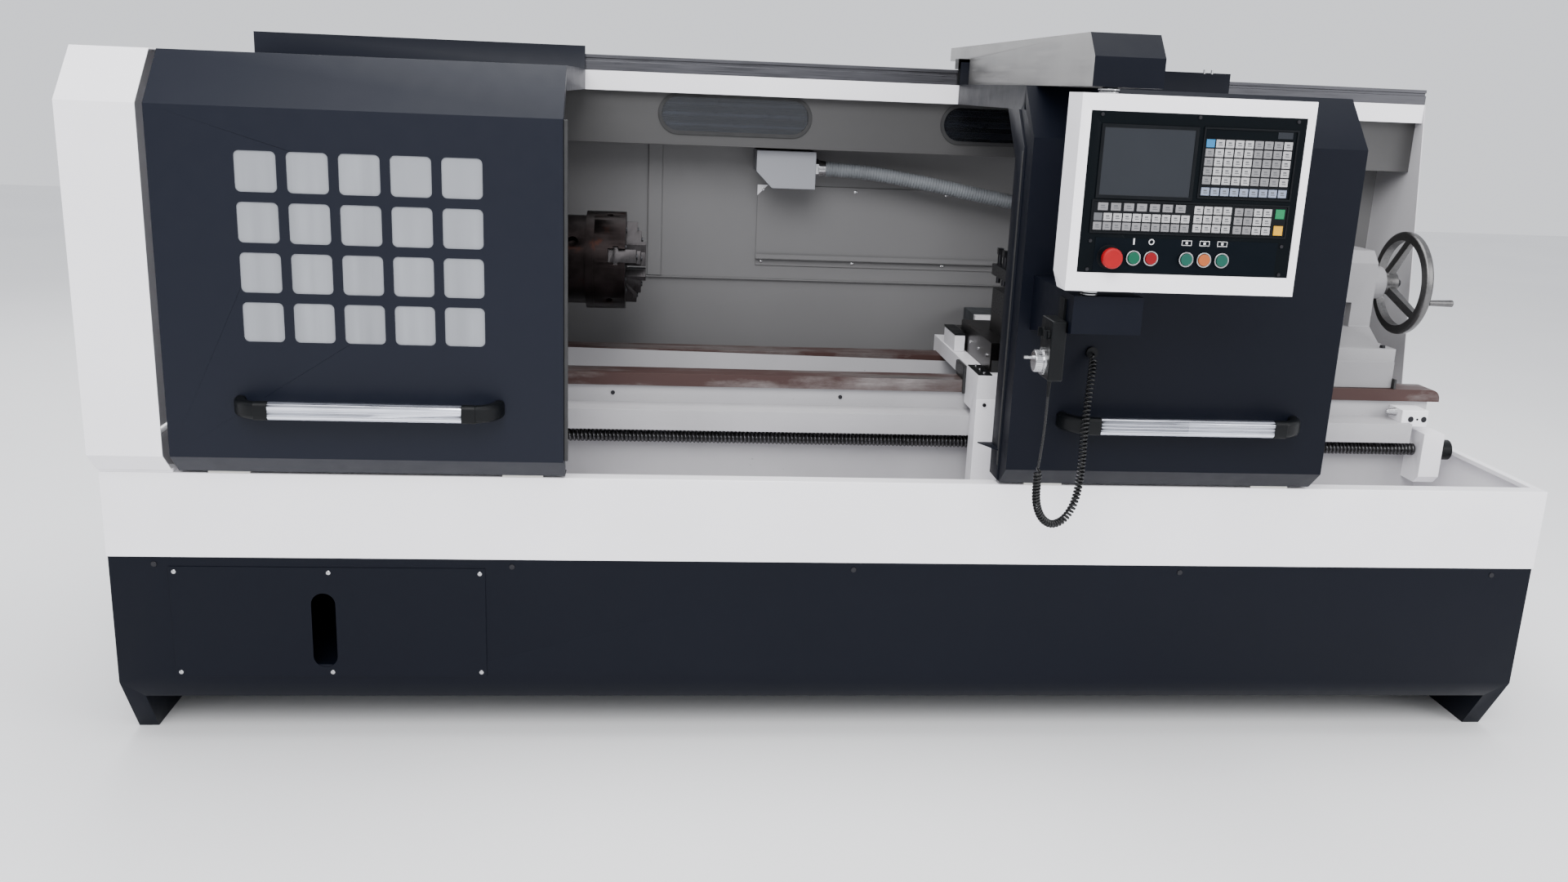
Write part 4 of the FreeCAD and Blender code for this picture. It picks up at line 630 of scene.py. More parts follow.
def swept(bm, points, radii, sides):
    """Round tube whose radius follows a list."""
    skin(bm, [[bm.verts.new(corner) for corner in circle(point, radius, sides, side, up)]
              for point, radius, (side, up) in zip(points, radii, moving_frames(points))])


# ---------------------------------------------------------------- finishes in use
class LATHE_OT_finishes(bpy.types.Operator):
    """Paints, metals, plastics and glass that the pieces share"""
    bl_idname = "lathe.finishes"
    bl_label = "Finishes"

    def execute(self, context):
        paints, axis = colours(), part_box("chuck_body")
        centre = tuple((axis[0][k] + axis[1][k]) / 2 for k in range(3))
        navy, white, wall = tuple(paints.navy), tuple(paints.white), tuple(paints.wall)
        grease = tuple(paints.grease)
        finishes.update({
            "navy": paint("navy_paint", navy, 0.40, 300.0, 0.00014, 0.10, 0.17),
            # Lighter paint for the guard's right end: partly the end wing's own lighter paint, partly
            # painted light that lifts its shade.
            "guard_end_with_painted_light": paint("guard_end_paint", shade(white, 0.62), 0.40, 380.0, 0.00012, 0.12),
            "deep": paint("deep_navy_paint", tuple(paints.deep), 0.42, 300.0, 0.00014, 0.10, 0.11),
            "shade": paint("lamp_panel_paint", (0.043, 0.042, 0.0425), 0.5, 380.0, 0.0001, 0.12),
            "white": paint("white_paint", white, 0.34, 380.0, 0.00012, 0.10),
            # Wall paint: partly the guard's grey paint, partly painted shade under the guard roof.
            "wall": paint("wall_grey_and_painted_shade_paint", wall, 0.46, 380.0, 0.00012, 0.16),
            "casting": cast_paint("casting_paint", shade(white, 0.80)),
            # Darkened copy of the white casting paint for the tailstock: painted shade.
            "tail_casting_painted_shade": cast_paint("tail_casting_paint", shade(white, 0.27)),
            # Darkened copy of the white casting paint for the bed: painted shade.
            "bed_casting_painted_shade": cast_paint("bed_casting_paint", shade(white, 0.46)),
            "grey": paint("grey_paint", (0.235, 0.240, 0.262), 0.38, 380.0, 0.00012, 0.14),
            # Grey brushed sheet for the arm's sides: painted glare, standing in for the reflection on the
            # arm's navy paint.
            "arm": machined("arm_painted_glare_sheet", (0.25, 0.246, 0.242), 0.42, (1.0, 0.05, 1.0), 90.0, metal=0.55),
            "ways": machined("greased_ways", (0.22, 0.20, 0.195), 0.28, (0.04, 1.0, 1.0), 320.0, grease,
                             (0.30, 0.53)),
            "slide": machined("greased_slide", (0.024, 0.022, 0.022), 0.34, (1.0, 0.08, 1.0), 300.0, grease,
                              (0.56, 0.70)),
            "steel": machined("ground_steel", (0.46, 0.46, 0.47), 0.26, (1.0, 0.1, 1.0)),
            "dark_steel": machined("blackened_steel", (0.022, 0.022, 0.025), 0.38, (1.0, 1.0, 1.0), 200.0,
                                   metal=0.8),
            "wheel": machined("wheel_metal", (0.12, 0.118, 0.118), 0.36, (1.0, 1.0, 1.0), 180.0),
            "chuck": turned("chuck_steel", (0.0125, 0.0098, 0.0098), 0.36, centre, (0.027, 0.0105, 0.0072),
                            (0.58, 0.78)),
            "jaw": machined("jaw_steel", (0.026, 0.024, 0.025), 0.33, (1.0, 0.3, 0.3), 240.0, metal=0.9),
            "shaft": turned("turned_shaft", (0.42, 0.41, 0.41), 0.24, centre),
            "thread": machined("screw_thread", (0.075, 0.075, 0.078), 0.24, (0.3, 1.0, 1.0), 60.0),
            # Near black for the bottom of the thread's groove: painted shade.
            "thread_groove_painted_shade": moulded("thread_groove_painted_shade", (0.004, 0.0036, 0.0036), 0.4, 300.0, gloss=0.3),
            "aluminium": machined("satin_aluminium", (0.70, 0.72, 0.80), 0.30, (0.03, 1.0, 1.0), 420.0),
            "rail": machined("rail_aluminium", (0.070, 0.070, 0.077), 0.34, (0.03, 1.0, 1.0), 300.0),
            "black": moulded("black_plastic", (0.0016, 0.0021, 0.0028), 0.40, gloss=0.17),
            "rubber": moulded("black_rubber", (0.0014, 0.0016, 0.0020), 0.28, 500.0, 0.00005, 0.35),
            "seal": moulded("seal_rubber", (0.012, 0.012, 0.013), 0.6, 300.0, 0.0001),
            "nylon": moulded("nylon", (0.55, 0.54, 0.50), 0.5),
            "motor": cast_paint("motor_paint", (0.030, 0.036, 0.042)),
            "belt": moulded("belt_rubber", (0.012, 0.012, 0.012), 0.7, 200.0, 0.0003),
            "hose": moulded("hose_grey", (0.165, 0.175, 0.188), 0.36, 260.0, 0.0001, 0.4),
            "frosted": frosted("frosted_glazing", (0.265, 0.276, 0.300)),
            "panel": paint("panel_paint", (0.0014, 0.0026, 0.0038), 0.40, 900.0, 0.00005, 0.06, 0.06),
            "panel_insert": paint("panel_insert_paint", (0.0014, 0.0030, 0.0052), 0.38, 900.0, 0.00005,
                                  0.05, 0.06),
            "bezel": moulded("bezel_black", (0.0028, 0.0036, 0.0048), 0.38, 700.0, 0.00004, 0.12),
            "screen": glassy("screen_glass", (0.009, 0.011, 0.015), 0.07, 0.0),
            "lamp_glass": glassy("lamp_glass", (0.36, 0.39, 0.46), 0.03, 0.98),
            # Near-black tubes and reflector: painted shade for the unlit inside of the lamps.
            "tube": moulded("lamp_tube_painted_shade", (0.028, 0.031, 0.040), 0.3, 200.0, 0.00002, 0.4),
            "reflector_painted_shade": machined("lamp_reflector", (0.010, 0.0115, 0.015), 0.34, (0.05, 1.0, 1.0), 40.0),
            "legend": moulded("legend_grey", (0.075, 0.078, 0.085), 0.4),
            "legend_white": moulded("legend_white", (0.62, 0.62, 0.63), 0.4),
            "chrome": machined("bright_metal", (0.44, 0.44, 0.45), 0.20, (1.0, 1.0, 1.0), 120.0),
        })
        for name, colour in (("light", (0.36, 0.355, 0.36)), ("grey", (0.175, 0.172, 0.178)),
                             ("pale", (0.20, 0.23, 0.31)), ("blue", (0.018, 0.15, 0.33)),
                             ("green", (0.003, 0.15, 0.055)), ("yellow", (0.52, 0.27, 0.008))):
            finishes[f"key_{name}"] = moulded(f"key_{name}", colour, 0.38, 900.0, 0.00003, 0.3)
        finishes["stop"] = moulded("stop_red", (0.285, 0.0025, 0.006), 0.42, 500.0, 0.00004, 0.2)
        for name, colour in (("green", (0.0005, 0.080, 0.042)), ("pale_green", (0.005, 0.068, 0.048)),
                             ("red", (0.185, 0.0008, 0.0045)), ("amber", (0.33, 0.080, 0.020))):
            finishes[name] = moulded(f"button_{name}", colour, 0.36, 500.0, 0.00003, 0.25)
        return {"FINISHED"}


# ---------------------------------------------------------------- base, pan and bed
class LATHE_OT_base(bpy.types.Operator):
    """Base, its access cover and screws, and the chip pan"""
    bl_idname = "lathe.base"
    bl_label = "Base and pan"

    def execute(self, context):
        edge = sizes().sheet_round
        refined("base_frame", edge, "deep")
        refined("chip_pan", edge * 1.6, "white")
        refined("access_cover", edge * 0.4, "deep")
        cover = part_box("access_cover")
        centre = Vector(((cover[0][0] + cover[1][0]) / 2, cover[0][1], (cover[0][2] + cover[1][2]) / 2))
        inset = 0.012
        screws = grid_of("cover_screws", dome_screw(0.0052, 0.0028), centre, 3, 2,
                            cover[1][0] - cover[0][0] - 2 * inset, cover[1][2] - cover[0][2] - 2 * inset,
                            "chrome", "machine")
        grid_of("base_bolts", socket_screw(0.0066, 0.003), at(-0.0018, 0.0045, 0.441), 5, 1, 3.1624, 0.0,
                "dark_steel", "machine")
        grid_of("bed_screws", socket_screw(0.0055, 0.003), at(0.0, 0.400, 0.7655), 5, 1, 2.32, 0.0,
                "dark_steel", "machine")
        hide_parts("panel_screws")
        return {"FINISHED"}


class LATHE_OT_bed(bpy.types.Operator):
    """Bed with greased ways, and the stop block at its end"""
    bl_idname = "lathe.bed"
    bl_label = "Bed"

    def execute(self, context):
        way_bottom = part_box("bed")[1][2] - 0.0315

        def choose(centre, normal):
            inside = WAY_INNER < centre.y < WAY_OUTER
            if centre.z > way_bottom and not inside:
                return 1
            return 0

        # The bed's casting faces take a darkened copy of the white casting paint: painted shade.
        refined("bed", sizes().casting_round, "bed_casting_painted_shade", choose, ("ways",))
        boxes("stop_block", "white", "machine", "white_paint", 0.0015,
              (at(1.479, 0.332, 0.732), at(1.551, 0.400, 0.776)))
        # Each hole is drawn as a dark steel disc on the block's face: painted shade for the inside of the
        # hole.
        for index, (x, radius) in enumerate(((1.504, 0.0078), (1.540, 0.0078), (1.522, 0.003))):
            bm = bmesh.new()
            centre = at(x, 0.332, 0.752)
            ring = circle(centre - Vector((0, 0.0006, 0)), radius, 24)
            inner = [centre + (p - centre) * 0.72 for p in ring]
            add_loop(bm, ring, inner, (0, 0.004, 0))
            add_rod(bm, centre + Vector((0, -0.0003, 0)), centre + Vector((0, 0.004, 0)), radius * 0.9)
            finished(f"stop_block_hole_{index + 1}", bm, "dark_steel", "machine")
        bm = bmesh.new()
        add_rod(bm, at(1.452, 0.366, 0.764), at(1.480, 0.366, 0.764), 0.006, 0.011)
        finished("stop_block_pin", bm, "steel", "machine", 0.0008)
        return {"FINISHED"}


class LATHE_OT_headstock(bpy.types.Operator):
    """Headstock casting, spindle and the belt drive under the covers"""
    bl_idname = "lathe.headstock"
    bl_label = "Headstock and drive"

    def execute(self, context):
        refined("headstock", 0.002, "casting")
        refined("main_motor", 0.003, "motor")
        refined("drive_belt", 0.0012, "belt")
        cad_finish("shaft", "spindle", "motor_pulley")
        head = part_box("headstock")
        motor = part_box("main_motor")
        shaft_z, fins, fin_reach, half_fin = 0.300, 16, 0.106, 0.0022
        ring_along_bed("motor_flange_bolts", socket_screw(0.007, 0.006),
                       Vector((motor[0][0], (motor[0][1] + motor[1][1]) / 2,
                               shaft_z)), 8, 0.098, "dark_steel", "machine", -1)
        bm = bmesh.new()
        for index in range(fins):
            angle = tau * index / fins
            y = FRONT_Y + 0.620 + fin_reach * cos(angle)
            z = shaft_z + fin_reach * sin(angle)
            add_box(bm, (motor[0][0] + 0.03, y - half_fin, z - half_fin),
                    (motor[1][0] - 0.07, y + half_fin, z + half_fin))
        finished("motor_fins", bm, "motor", "machine", 0.0006)
        lid = 0.008
        middle = Vector(((head[0][0] + head[1][0]) / 2, (head[0][1] + head[1][1]) / 2, head[1][2]))
        boxes("headstock_lid", "casting", "machine", "cast_white", 0.002,
              ((head[0][0] + 0.09, head[0][1] + 0.05, head[1][2]),
               (head[1][0] - 0.09, head[1][1] - 0.05, head[1][2] + lid)))
        grid_of("headstock_lid_screws", socket_screw(0.006, 0.006), middle + Vector((0, 0, lid)), 4, 2,
                   head[1][0] - head[0][0] - 0.22, head[1][1] - head[0][1] - 0.14,
                   "dark_steel", "machine", FACE_UP)
        return {"FINISHED"}


class LATHE_OT_chuck(bpy.types.Operator):
    """Chuck, its plate, jaws and bolts"""
    bl_idname = "lathe.chuck"
    bl_label = "Chuck"

    def execute(self, context):
        refined("chuck_plate", 0.0012, "chuck")
        refined("chuck_body", 0.0012, "chuck")
        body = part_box("chuck_body")
        centre = Vector((body[1][0], (body[0][1] + body[1][1]) / 2, (body[0][2] + body[1][2]) / 2))
        first_jaw = 167.5
        for index in range(3):
            node = f"chuck_jaw_{index + 1}"
            refined(node, 0.0008, "jaw")
            angle = radians(first_jaw + 120 * index)
            outward = Vector((0, cos(angle), sin(angle)))
            across = Vector((0, -sin(angle), cos(angle)))
            bm = bmesh.new()
            for reach, rise in ((0.0975, 0.0275), (0.066, 0.0385)):
                base = centre + outward * reach + Vector((rise, 0, 0))
                add_rod(bm, base, base + Vector((0.004, 0, 0)), 0.0068, sides=24)
                add_rod(bm, base + Vector((0.0039, 0, 0)), base + Vector((0.0042, 0, 0)), 0.0034, sides=6)
            for tooth in range(11):
                x = 0.008 + tooth * 0.0038
                base = centre + outward * 0.0222 + Vector((x, 0, 0))
                ring = [base - across * 0.0046, base - across * 0.0046 + Vector((0.0028, 0, 0)),
                        base + across * 0.0046 + Vector((0.0028, 0, 0)), base + across * 0.0046]
                add_outline(bm, ring, outward * -0.0016)
            finished(f"jaw_{index + 1}_fittings", bm, "dark_steel", f"jaw_{index + 1}")
        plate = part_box("chuck_plate")
        ring_along_bed("chuck_plate_bolts", socket_screw(0.0095, 0.010),
                       Vector((plate[0][0], centre.y,
                               centre.z)), 6, 0.088, "dark_steel", "spindle_unit", -1)
        ring_along_bed("chuck_face_bolts", socket_screw(0.0085, 0.0025), centre, 6, 0.078, "dark_steel",
                       "spindle_unit", 1)
        return {"FINISHED"}


# ---------------------------------------------------------------- feed
class LATHE_OT_feed(bpy.types.Operator):
    """Long threaded screw, its supports and the feed motors"""
    bl_idname = "lathe.feed"
    bl_label = "Feed screws"

    def execute(self, context):
        low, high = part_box("z_ball_screw")
        y, z, radius = (low[1] + high[1]) / 2, (low[2] + high[2]) / 2, (high[1] - low[1]) / 2
        lead, sides, rows = sizes().screw_lead, 18, 6
        start, end = -0.880, 1.540
        count = int((end - start) / lead * rows)
        bm = bmesh.new()
        neck, thread_depth, flank = 0.010, 0.0033, 0.34
        root_low, root_high = 0.0016, 0.0050
        rings = [[bm.verts.new(p) for p in circle((start, y, z), neck, sides, (0, 1, 0))]]
        for step in range(count + 1):
            x = start + (end - start) * step / count
            ring = []
            for s in range(sides):
                turn = (x / lead - s / sides) % 1.0
                groove = max(0.0, 1.0 - abs(turn - 0.5) / flank)
                reach = radius - thread_depth * sin(groove * pi / 2)
                angle = tau * s / sides
                ring.append(bm.verts.new((x, y + reach * cos(angle), z + reach * sin(angle))))
            rings.append(ring)
        rings.append([bm.verts.new(p) for p in circle((end, y, z), neck, sides, (0, 1, 0))])
        skin(bm, rings)
        add_rod(bm, (low[0], y, z), (start, y, z), neck)
        add_rod(bm, (end, y, z), (high[0], y, z), neck)
        bmesh.ops.recalc_face_normals(bm, faces=bm.faces)
        # Faces deep in the groove take the near-black finish: painted shade in the thread.
        for face in bm.faces:
            middle = face.calc_center_median()
            depth = radius - hypot(middle.y - y, middle.z - z)
            face.material_index = 1 if root_low < depth < root_high else 0
        screw = finished("feed_screw", bm, None, "z_screw", smooth=60.0)
        screw.data.materials.append(finishes["thread"])
        screw.data.materials.append(finishes["thread_groove_painted_shade"])
        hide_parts("z_ball_screw")
        cad_finish("steel", "x_ball_screw")
        cap_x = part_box("screw_supports")[1][0] - 0.038

        def choose(centre, normal):
            return 1 if centre.x > cap_x + 0.0005 else 0

        refined("screw_supports", 0.0015, "white", choose, ("black",))
        bm = bmesh.new()
        add_rod(bm, (cap_x - 0.001, y, z), (cap_x + 0.006, y, z), 0.0345, sides=40)
        finished("support_flange", bm, "black", "machine", 0.001)
        ring_along_bed("support_flange_screws", socket_screw(0.0035, 0.003), Vector((cap_x + 0.006, y, z)),
                       4, 0.0305, "dark_steel", "machine")
        refined("z_motor", 0.004, "motor")
        refined("x_motor", 0.004, "motor")
        return {"FINISHED"}


class LATHE_OT_carriage(bpy.types.Operator):
    """Carriage, cross slide and turret, with wipers, strips and screws"""
    bl_idname = "lathe.carriage"
    bl_label = "Carriage and turret"

    def execute(self, context):
        top = 0.861

        def choose(centre, normal):
            return 1 if centre.z > top + 0.0005 and centre.z < 0.895 else 0

        refined("carriage", sizes().casting_round, "casting", choose, ("slide",))
        refined("cross_slide", 0.0015, "slide")
        refined("turret_base", 0.0012, "slide")
        refined("turret_head", 0.0012, "dark_steel")
        for side, x0, x1 in (("left", 0.3205, 0.3555), ("right", 0.6045, 0.6395)):
            boxes(f"apron_strip_{side}", "black", "carriage_unit", "dark_steel", 0.0006,
                  (at(x0, 0.251, top), at(x1, 0.372, top + 0.003)))
            grid_of(f"apron_strip_{side}_screws", socket_screw(0.0042, 0.003),
                    at((x0 + x1) / 2, 0.3115,
                       top + 0.003), 1, 3, 0.0, 0.092, "chrome", "carriage_unit", FACE_UP)
        for side, x0, x1 in (("left", 0.3128, 0.3198), ("right", 0.6402, 0.6472)):
            bm = bmesh.new()
            low_y, high_y = FRONT_Y + 0.3785, FRONT_Y + 0.468
            ring = [(x0, low_y, 0.786), (x0, low_y, 0.858), (x0, high_y, 0.858), (x0, high_y, 0.8204),
                    (x0, FRONT_Y + 0.3857, 0.8204), (x0, FRONT_Y + 0.3857, 0.786)]
            add_outline(bm, [Vector(p) for p in ring], (x1 - x0, 0, 0))
            finished(f"way_wiper_{side}", bm, "seal", "carriage_unit", 0.0008)
            boxes(f"wiper_plate_{side}", "dark_steel", "carriage_unit", "dark_steel", 0.0005,
                  ((x0 - 0.0022 if side == "left" else x1, low_y, 0.829),
                   (x0 if side == "left" else x1 + 0.0022, high_y, 0.857)))
        boxes("apron_cover", "white", "carriage_unit", "white_paint", 0.0008,
              (at(0.3195, 0.2478, 0.563), at(0.6405, 0.2500, 0.801)))
        grid_of("apron_cover_screws", socket_screw(0.0048, 0.003), at(0.480, 0.2478, 0.682), 3, 2, 0.28,
                0.21, "dark_steel", "carriage_unit")
        boxes("oil_block", "casting", "carriage_unit", "cast_white", 0.002,
              (at(0.324, 0.560, top), at(0.352, 0.700, 0.905)))
        boxes("oil_block_lid", "black", "carriage_unit", "dark_steel", 0.0008,
              (at(0.323, 0.558, 0.905), at(0.3525, 0.702, 0.910)))
        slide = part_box("cross_slide")
        bm = bmesh.new()
        middle = (slide[0][0] + slide[1][0]) / 2
        for x0, x1 in ((slide[0][0] + 0.004, middle - 0.021), (middle + 0.021, slide[1][0] - 0.004)):
            add_box(bm, (x0, slide[0][1] - 0.003, slide[0][2] + 0.002),
                    (x1, slide[0][1], slide[0][2] + 0.030))
        finished("cross_slide_wiper", bm, "seal", "cross_slide_unit", 0.0006)
        grid_of("cross_slide_gib_screws", socket_screw(0.0045, 0.003),
                (slide[0][0], (slide[0][1] + slide[1][1]) / 2,
                 slide[0][2] + 0.036), 4, 1, 0.27, 0.0, "chrome", "cross_slide_unit", FACE_LEFT)
        return {"FINISHED"}


class LATHE_OT_tailstock(bpy.types.Operator):
    """Tailstock casting, quill, handwheel and crank"""
    bl_idname = "lathe.tailstock"
    bl_label = "Tailstock"

    def execute(self, context):
        # The tailstock's white casting takes a darkened copy of the casting paint: painted shade.
        refined("tailstock", 0.004, "tail_casting_painted_shade")
        cad_finish("shaft", "quill")
        refined("tail_handwheel", 0.0015, "wheel")
        refined("wheel_crank", 0.0, "wheel")
        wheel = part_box("tail_handwheel")
        centre = Vector((0, (wheel[0][1] + wheel[1][1]) / 2, (wheel[0][2] + wheel[1][2]) / 2))
        bm = bmesh.new()
        hub_x = 1.5403
        add_rod(bm, (hub_x, centre.y, centre.z), (hub_x + 0.010, centre.y, centre.z), 0.019, sides=6)
        add_rod(bm, (hub_x + 0.010, centre.y, centre.z), (hub_x + 0.018, centre.y, centre.z), 0.010)
        finished("handwheel_nut", bm, "dark_steel", "tail_wheel", 0.0008)
        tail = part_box("tailstock")
        grid_of("tail_base_screws", socket_screw(0.0075, 0.007), (tail[0][0] + 0.142, centre.y, 0.925), 2,
                2, 0.225, 0.335, "dark_steel", "tailstock_unit", FACE_UP)
        bm = bmesh.new()
        for x in (1.1835, 1.4745):
            add_box(bm, at(x, 0.386, 0.8205), at(x + 0.006, 0.462, 0.846))
        finished("tail_wipers", bm, "seal", "tailstock_unit", 0.0006)
        return {"FINISHED"}


# ---------------------------------------------------------------- doors and guards
class LATHE_OT_doors(bpy.types.Operator):
    """Sliding doors with glazing, seals, handles and runners, and the end cover"""
    bl_idname = "lathe.doors"
    bl_label = "Doors and end cover"

    def execute(self, context):
        edge = sizes().sheet_round
        refined("left_door_panel", edge * 0.8, "navy")
        refined("right_door_panel", edge * 0.8, "deep")
        refined("end_cover", edge, "white")
        refined("left_door_window", 0.0006, "frosted")
        cad_finish("nylon", "left_door_slides", "right_door_slides")
        for side in ("left", "right"):
            node = f"{side}_door_handle"
            low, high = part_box(node)
            half = (high[0] - low[0]) / 2 - 0.058
            centre_x = (low[0] + high[0]) / 2

            def choose(centre, normal):
                return 0 if abs(centre.x - centre_x) < half else 1

            refined(node, 0.0, "aluminium", choose, ("black",))
            bm = bmesh.new()
            y, z = low[1] + 0.012, (low[2] + high[2]) / 2
            for x0, x1 in ((centre_x - half - 0.004, centre_x - half + 0.026),
                           (centre_x + half - 0.026, centre_x + half + 0.004)):
                ring = []
                for step in range(40):
                    angle = tau * step / 40
                    ring.append(Vector((x0, y + 0.0128 * copysign(abs(cos(angle)) ** 0.5,
                                                                       cos(angle)),
                                        z + 0.0198 * copysign(abs(sin(angle)) ** 0.5,
                                                                   sin(angle)))))
                add_outline(bm, ring, (x1 - x0, 0, 0))
            finished(f"{side}_handle_collars", bm, "black", f"{side}_door", 0.0015)
            bm = bmesh.new()
            for offset in (-0.0075, 0.0, 0.0075):
                add_box(bm, (centre_x - half + 0.026, low[1] - 0.0004, z + offset - 0.0006),
                        (centre_x + half - 0.026, low[1] + 0.002, z + offset + 0.0006))
            finished(f"{side}_handle_ribs", bm, "aluminium", f"{side}_door")
        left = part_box("left_door_panel")
        boxes("left_door_seal", "seal", "left_door", "rubber", 0.002,
              ((left[1][0], left[0][1] + 0.006, 0.708), (left[1][0] + 0.009, left[0][1] + 0.014, 1.446)))
        boxes("right_door_seal", "seal", "right_door", "rubber", 0.0006,
              (at(0.3215, 0.0070, 0.700), at(0.3230, 0.0180, 1.415)))
        boxes("rail_wiper", "black", "right_door", "black_plastic", 0.001,
              (at(0.3215, 0.7478, 1.556), at(0.3600, 0.7525, 1.622)), (at(0.3215, 0.7478, 1.5950),
                                                                       at(0.3600, 0.7960, 1.622)))
        bm = bmesh.new()
        for x in (1.0015, 1.0225):
            add_rod(bm, at(x, 0.7465, 1.610), at(x, 0.7465, 1.622), 0.0035, sides=16)
        finished("upstand_studs", bm, "chrome", "right_door", 0.0004)
        return {"FINISHED"}


class LATHE_OT_guard(bpy.types.Operator):
    """Rear guard, lamp beam, rail, hatch and lamps"""
    bl_idname = "lathe.guard"
    bl_label = "Guard and lamps"

    def execute(self, context):
        edge = sizes().sheet_round
        end_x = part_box("rear_guard")[1][0] - 0.004

        # Faces of the end wing and of the guard beside the right door take the lighter paint, which is
        # partly painted light that lifts their shade.
        def on_end(centre, normal):
            return 1 if centre.x > end_x or centre.y < FRONT_Y + 0.945 and centre.x > 1.2 else 0

        refined("rear_guard", edge * 0.8, "wall", on_end, ("guard_end_with_painted_light",))
        white_top = FRONT_Y + 0.7885

        def choose(centre, normal):
            return 0 if centre.y < white_top else 1

        refined("lamp_beam", edge * 0.8, "white", choose, ("shade",))
        refined("door_rail", 0.001, "rail")
        refined("junction_box", 0.002, "grey")
        for index, centre_x in enumerate((-0.271, 0.499)):
            name = f"lamp_{index + 1}"
            panel_y = FRONT_Y + 0.790
            outer = stadium((centre_x, 1.449), 0.416, 0.109, panel_y - 0.0035)
            inner = stadium((centre_x, 1.449), 0.396, 0.089, panel_y - 0.0035)
            bm = bmesh.new()
            add_loop(bm, outer, inner, (0, 0.008, 0))
            finished(f"{name}_gasket", bm, "seal", "machine", 0.0008)
            bm = bmesh.new()
            add_outline(bm, stadium((centre_x, 1.449), 0.398, 0.091, panel_y - 0.0005), (0, 0.0025, 0))
            finished(f"{name}_glass", bm, "lamp_glass", "machine")
            # Reflector and tubes are near black: painted shade inside the lamp housing.
            boxes(f"{name}_reflector", "reflector_painted_shade", "machine", "sheet_aluminium", 0.001,
                  ((centre_x - 0.222, panel_y + 0.058, 1.385), (centre_x + 0.222, panel_y + 0.062, 1.515)))
            bm = bmesh.new()
            for z in (1.420, 1.449, 1.478):
                add_rod(bm, (centre_x - 0.205, panel_y + 0.034, z), (centre_x + 0.205, panel_y + 0.034, z),
                        0.008, sides=24)
            finished(f"{name}_tubes", bm, "tube", "machine", 0.001)
            bm = bmesh.new()
            for x in (centre_x - 0.218, centre_x + 0.196):
                add_box(bm, (x, panel_y + 0.022, 1.402), (x + 0.022, panel_y + 0.058, 1.496))
            finished(f"{name}_holders", bm, "black", "machine", 0.001)
        # The hatch takes the darkened wall paint, which holds painted shade.
        boxes("hatch", "wall", "machine", "white_paint", 0.0015,
              ((-0.193, WALL_Y - 0.004, 1.026), (0.640, WALL_Y, 1.257)))
        grid_of("hatch_screws", dome_screw(0.005, 0.0025), (0.2235, WALL_Y - 0.004, 1.1415), 4, 2, 0.800,
                0.206, "chrome", "machine")
        boxes("hatch_ledge", "wall", "machine", "white_paint", 0.0006,
              ((-0.193, WALL_Y - 0.020, 1.046), (0.640, WALL_Y - 0.004, 1.049)),
              ((-0.193, WALL_Y - 0.020, 1.046), (0.640, WALL_Y - 0.0185, 1.060)),
              ((-0.720, WALL_Y - 0.012, 0.985), (1.640, WALL_Y, 0.988)))
        bm = bmesh.new()
        for x, z in ((-0.193, 1.257), (0.640, 1.257)):
            side = 1 if x < 0 else -1
            add_outline(bm, [Vector((x, WALL_Y - 0.0055, z)),
                             Vector((x + side * 0.030, WALL_Y - 0.0055, z)),
                             Vector((x, WALL_Y - 0.0055, z - 0.030))], (0, 0.0015, 0))
        finished("hatch_gussets", bm, "white", "machine")
        bm = bmesh.new()
        for x in (-0.506, -0.4655, 0.900):
            add_box(bm, (x, WALL_Y - 0.0025, 0.990), (x + 0.0025, WALL_Y, 1.368))
        add_box(bm, (-0.5035, WALL_Y - 0.009, 0.990), (-0.4655, WALL_Y, 1.368))
        finished("wall_seams", bm, "wall", "machine", 0.0008)
        return {"FINISHED"}


class LATHE_OT_conduit(bpy.types.Operator):
    """Ribbed hose between the wall box and the rear wall"""
    bl_idname = "lathe.conduit"
    bl_label = "Conduit"

    def execute(self, context):
        route = [at(*p) for p in ((-0.0425, 0.876, 1.312), (0.070, 0.876, 1.312), (0.270, 0.868, 1.284),
                                  (0.500, 0.864, 1.242), (0.740, 0.874, 1.206), (0.940, 0.916, 1.192),
                                  (1.070, 0.972, 1.190))]
        line = route_points(route)
        length = path_length(line)
        step = sizes().rib_pitch / 6
        points = resampled(line, step)
        plain, plain_radius, mean_radius, rib_rise = 0.034, 0.0188, 0.0197, 0.0013
        radii = []
        for index in range(len(points)):
            travelled = index * length / (len(points) - 1)
            if travelled < plain:
                radii.append(plain_radius)
            else:
                radii.append(mean_radius + rib_rise * sin(tau * travelled / sizes().rib_pitch))
        bm = bmesh.new()
        swept(bm, points, radii, 22)
        hose = finished("conduit_hose", bm, "hose", "machine", smooth=75.0)
        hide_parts("conduit")
        bm = bmesh.new()
        start = route[0]
        add_rod(bm, start, start + Vector((0.012, 0, 0)), 0.0275, sides=6)
        add_rod(bm, start + Vector((0.012, 0, 0)), start + Vector((0.032, 0, 0)), 0.0235, 0.0215)
        finished("conduit_gland", bm, "chrome", "machine", 0.001)
        return {"FINISHED"}


